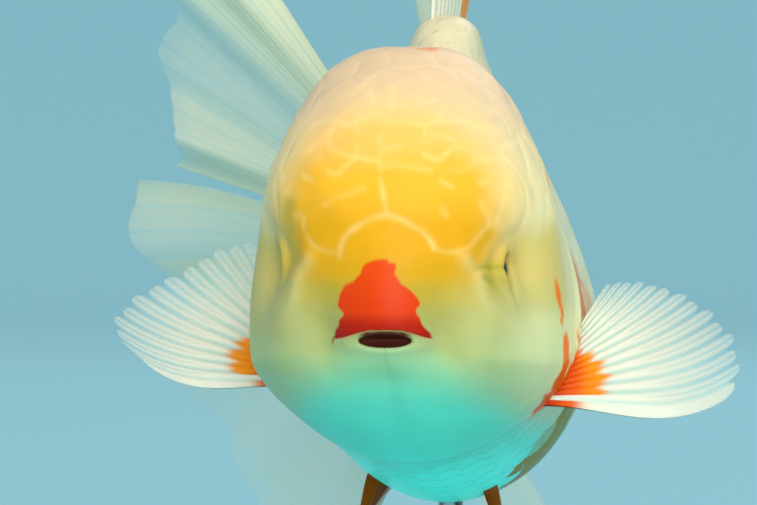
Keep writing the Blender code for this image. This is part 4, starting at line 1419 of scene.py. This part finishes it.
def make_stand():
    """The base: a superellipse plan carried up a profile with rounded edges. The rod: a drum."""
    profile = np.array((  # (inwards from the outline, height)
        (40.0, 0.0), (6.0, 0.0), (0.9, 0.0), (0.45, 0.12), (0.12, 0.45), (0.0, 0.9),
        (0.0, 3.4), (0.0, 6.2), (0.25, 7.2), (0.75, 8.1), (1.5, 8.7),
        *((inwards, BASE_THICKNESS) for inwards in (2.5, 6.0, 16.0, 28.0, 40.0))))
    around = np.linspace(0, TURN, 240, endpoint=False)
    inset, turn = np.meshgrid(profile[:, 0], around, indexing="ij")
    height = np.repeat(profile[:, 1:], len(around), 1)
    points = MM * np.stack([
        (BASE_WIDTH / 2 - inset) * power(np.cos(turn), 0.8),
        (BASE_LENGTH / 2 - inset * (BASE_LENGTH / BASE_WIDTH)) * power(np.sin(turn), 0.8),
        height,
    ], -1)
    base = make_piece("stand_plinth", *closed_rings(points))
    finish_piece(base, walnut_material(), "stand_wood", "stand_base")
    low, high = (np.array(corner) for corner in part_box("stand_rod"))
    heights = np.array((low[2] - 0.0008, low[2], *np.linspace(low[2] + 0.0002, high[2] + 0.001, 24)))
    around = np.linspace(0, TURN, 64, endpoint=False)
    level, turn = np.meshgrid(heights, around, indexing="ij")
    points = np.stack([MM * ROD_RADIUS * np.cos(turn), MM * ROD_RADIUS * np.sin(turn), level], -1)
    rod = make_piece("stand_post", *closed_rings(points))
    finish_piece(rod, steel_material(), "stand_steel", "stand_rod")


# ---- stage, lights and camera -------------------------------------------------------------------


def make_stage():
    """A wide pale floor that curves up on every side, far from the fish."""
    bend = np.linspace(0, math.pi / 2, 25)
    out = np.concatenate([[0.0, 0.6, 1.5, 2.5], 3.4 + 1.2 * np.sin(bend), [4.6]])
    up = np.concatenate([np.zeros(4), 1.2 - 1.2 * np.cos(bend), [1.7]])
    around = np.linspace(0, TURN, 96, endpoint=False)
    turn = np.repeat(around[None], len(out), 0)
    points = np.stack([out[:, None] * np.cos(turn), out[:, None] * np.sin(turn),
                       np.repeat(up[:, None], len(around), 1)], -1)
    faces = grid_faces(len(out), len(around), True)
    bowl = make_piece("studio_floor", points.reshape(-1, 3), faces[:, ::-1])
    pale = plain_material("pale_floor", tint(118, 160, 170), tint(150, 204, 214), 0.42)
    bowl.data.materials.append(pale)


def soft_light(name, place, target, size, strength, colour=(1, 1, 1), spread=180):
    """A round lamp that faces a target; spread is the angle in degrees that its light fans out to."""
    data = bpy.data.lights.new(name, "AREA")
    data.spread = math.radians(spread)
    data.shape = "DISK"
    data.size = size
    data.energy = strength
    data.color = colour
    light = bpy.data.objects.new(name, data)
    bpy.context.scene.collection.objects.link(light)
    light.location = place
    light.rotation_euler = (Vector(target) - Vector(place)).to_track_quat("-Z", "Y").to_euler()
    return light


def make_lights():
    """Pale air, a key lamp high on the fish's left, soft ones ahead and low down, one behind."""
    world = bpy.data.worlds.new("studio_air")
    world.use_nodes = True
    air = world.node_tree.nodes["Background"].inputs
    air["Color"].default_value = (0.93, 0.97, 1.0, 1)
    air["Strength"].default_value = 0.68
    bpy.context.scene.world = world
    aim = (0, 0, 0.09)
    soft_light("key", (0.8, -1.3, 1.4), aim, 1.8, 10, (1.0, 0.98, 0.94))
    front = soft_light("front", (0.0, -1.5, 0.35), aim, 1.2, 3.3, spread=90)
    front.visible_glossy = False
    low = soft_light("low", (0.08, -0.7, 0.02), (0, -0.02, 0.06), 0.5, 1.2, spread=120)
    low.visible_glossy = False
    soft_light("back", (0.8, 1.6, 1.4), aim, 1.2, 6)


def make_camera():
    """A long lens straight ahead of the snout and level with it."""
    data = bpy.data.cameras.new("camera")
    data.sensor_width = 36
    data.lens = LENS
    data.clip_start, data.clip_end = 0.01, 50
    camera = bpy.data.objects.new("camera", data)
    bpy.context.scene.collection.objects.link(camera)
    snout = posed((0, 0, 0))
    camera.location = (snout[0] - CAMERA_ASIDE, snout[1] - CAMERA_AHEAD, snout[2])
    camera.rotation_euler = (math.pi / 2, 0, 0)
    bpy.context.scene.camera = camera


def main():
    """Builds every piece, then the stage, the lights and the camera, and sets the view to Standard."""
    make_skin(flesh_material("wet_skin", False))
    make_scales(flesh_material("scale_skin", True))
    make_fins()
    make_eyes()
    make_stand()
    make_stage()
    make_lights()
    make_camera()
    bpy.context.scene.view_settings.view_transform = "Standard"


main()
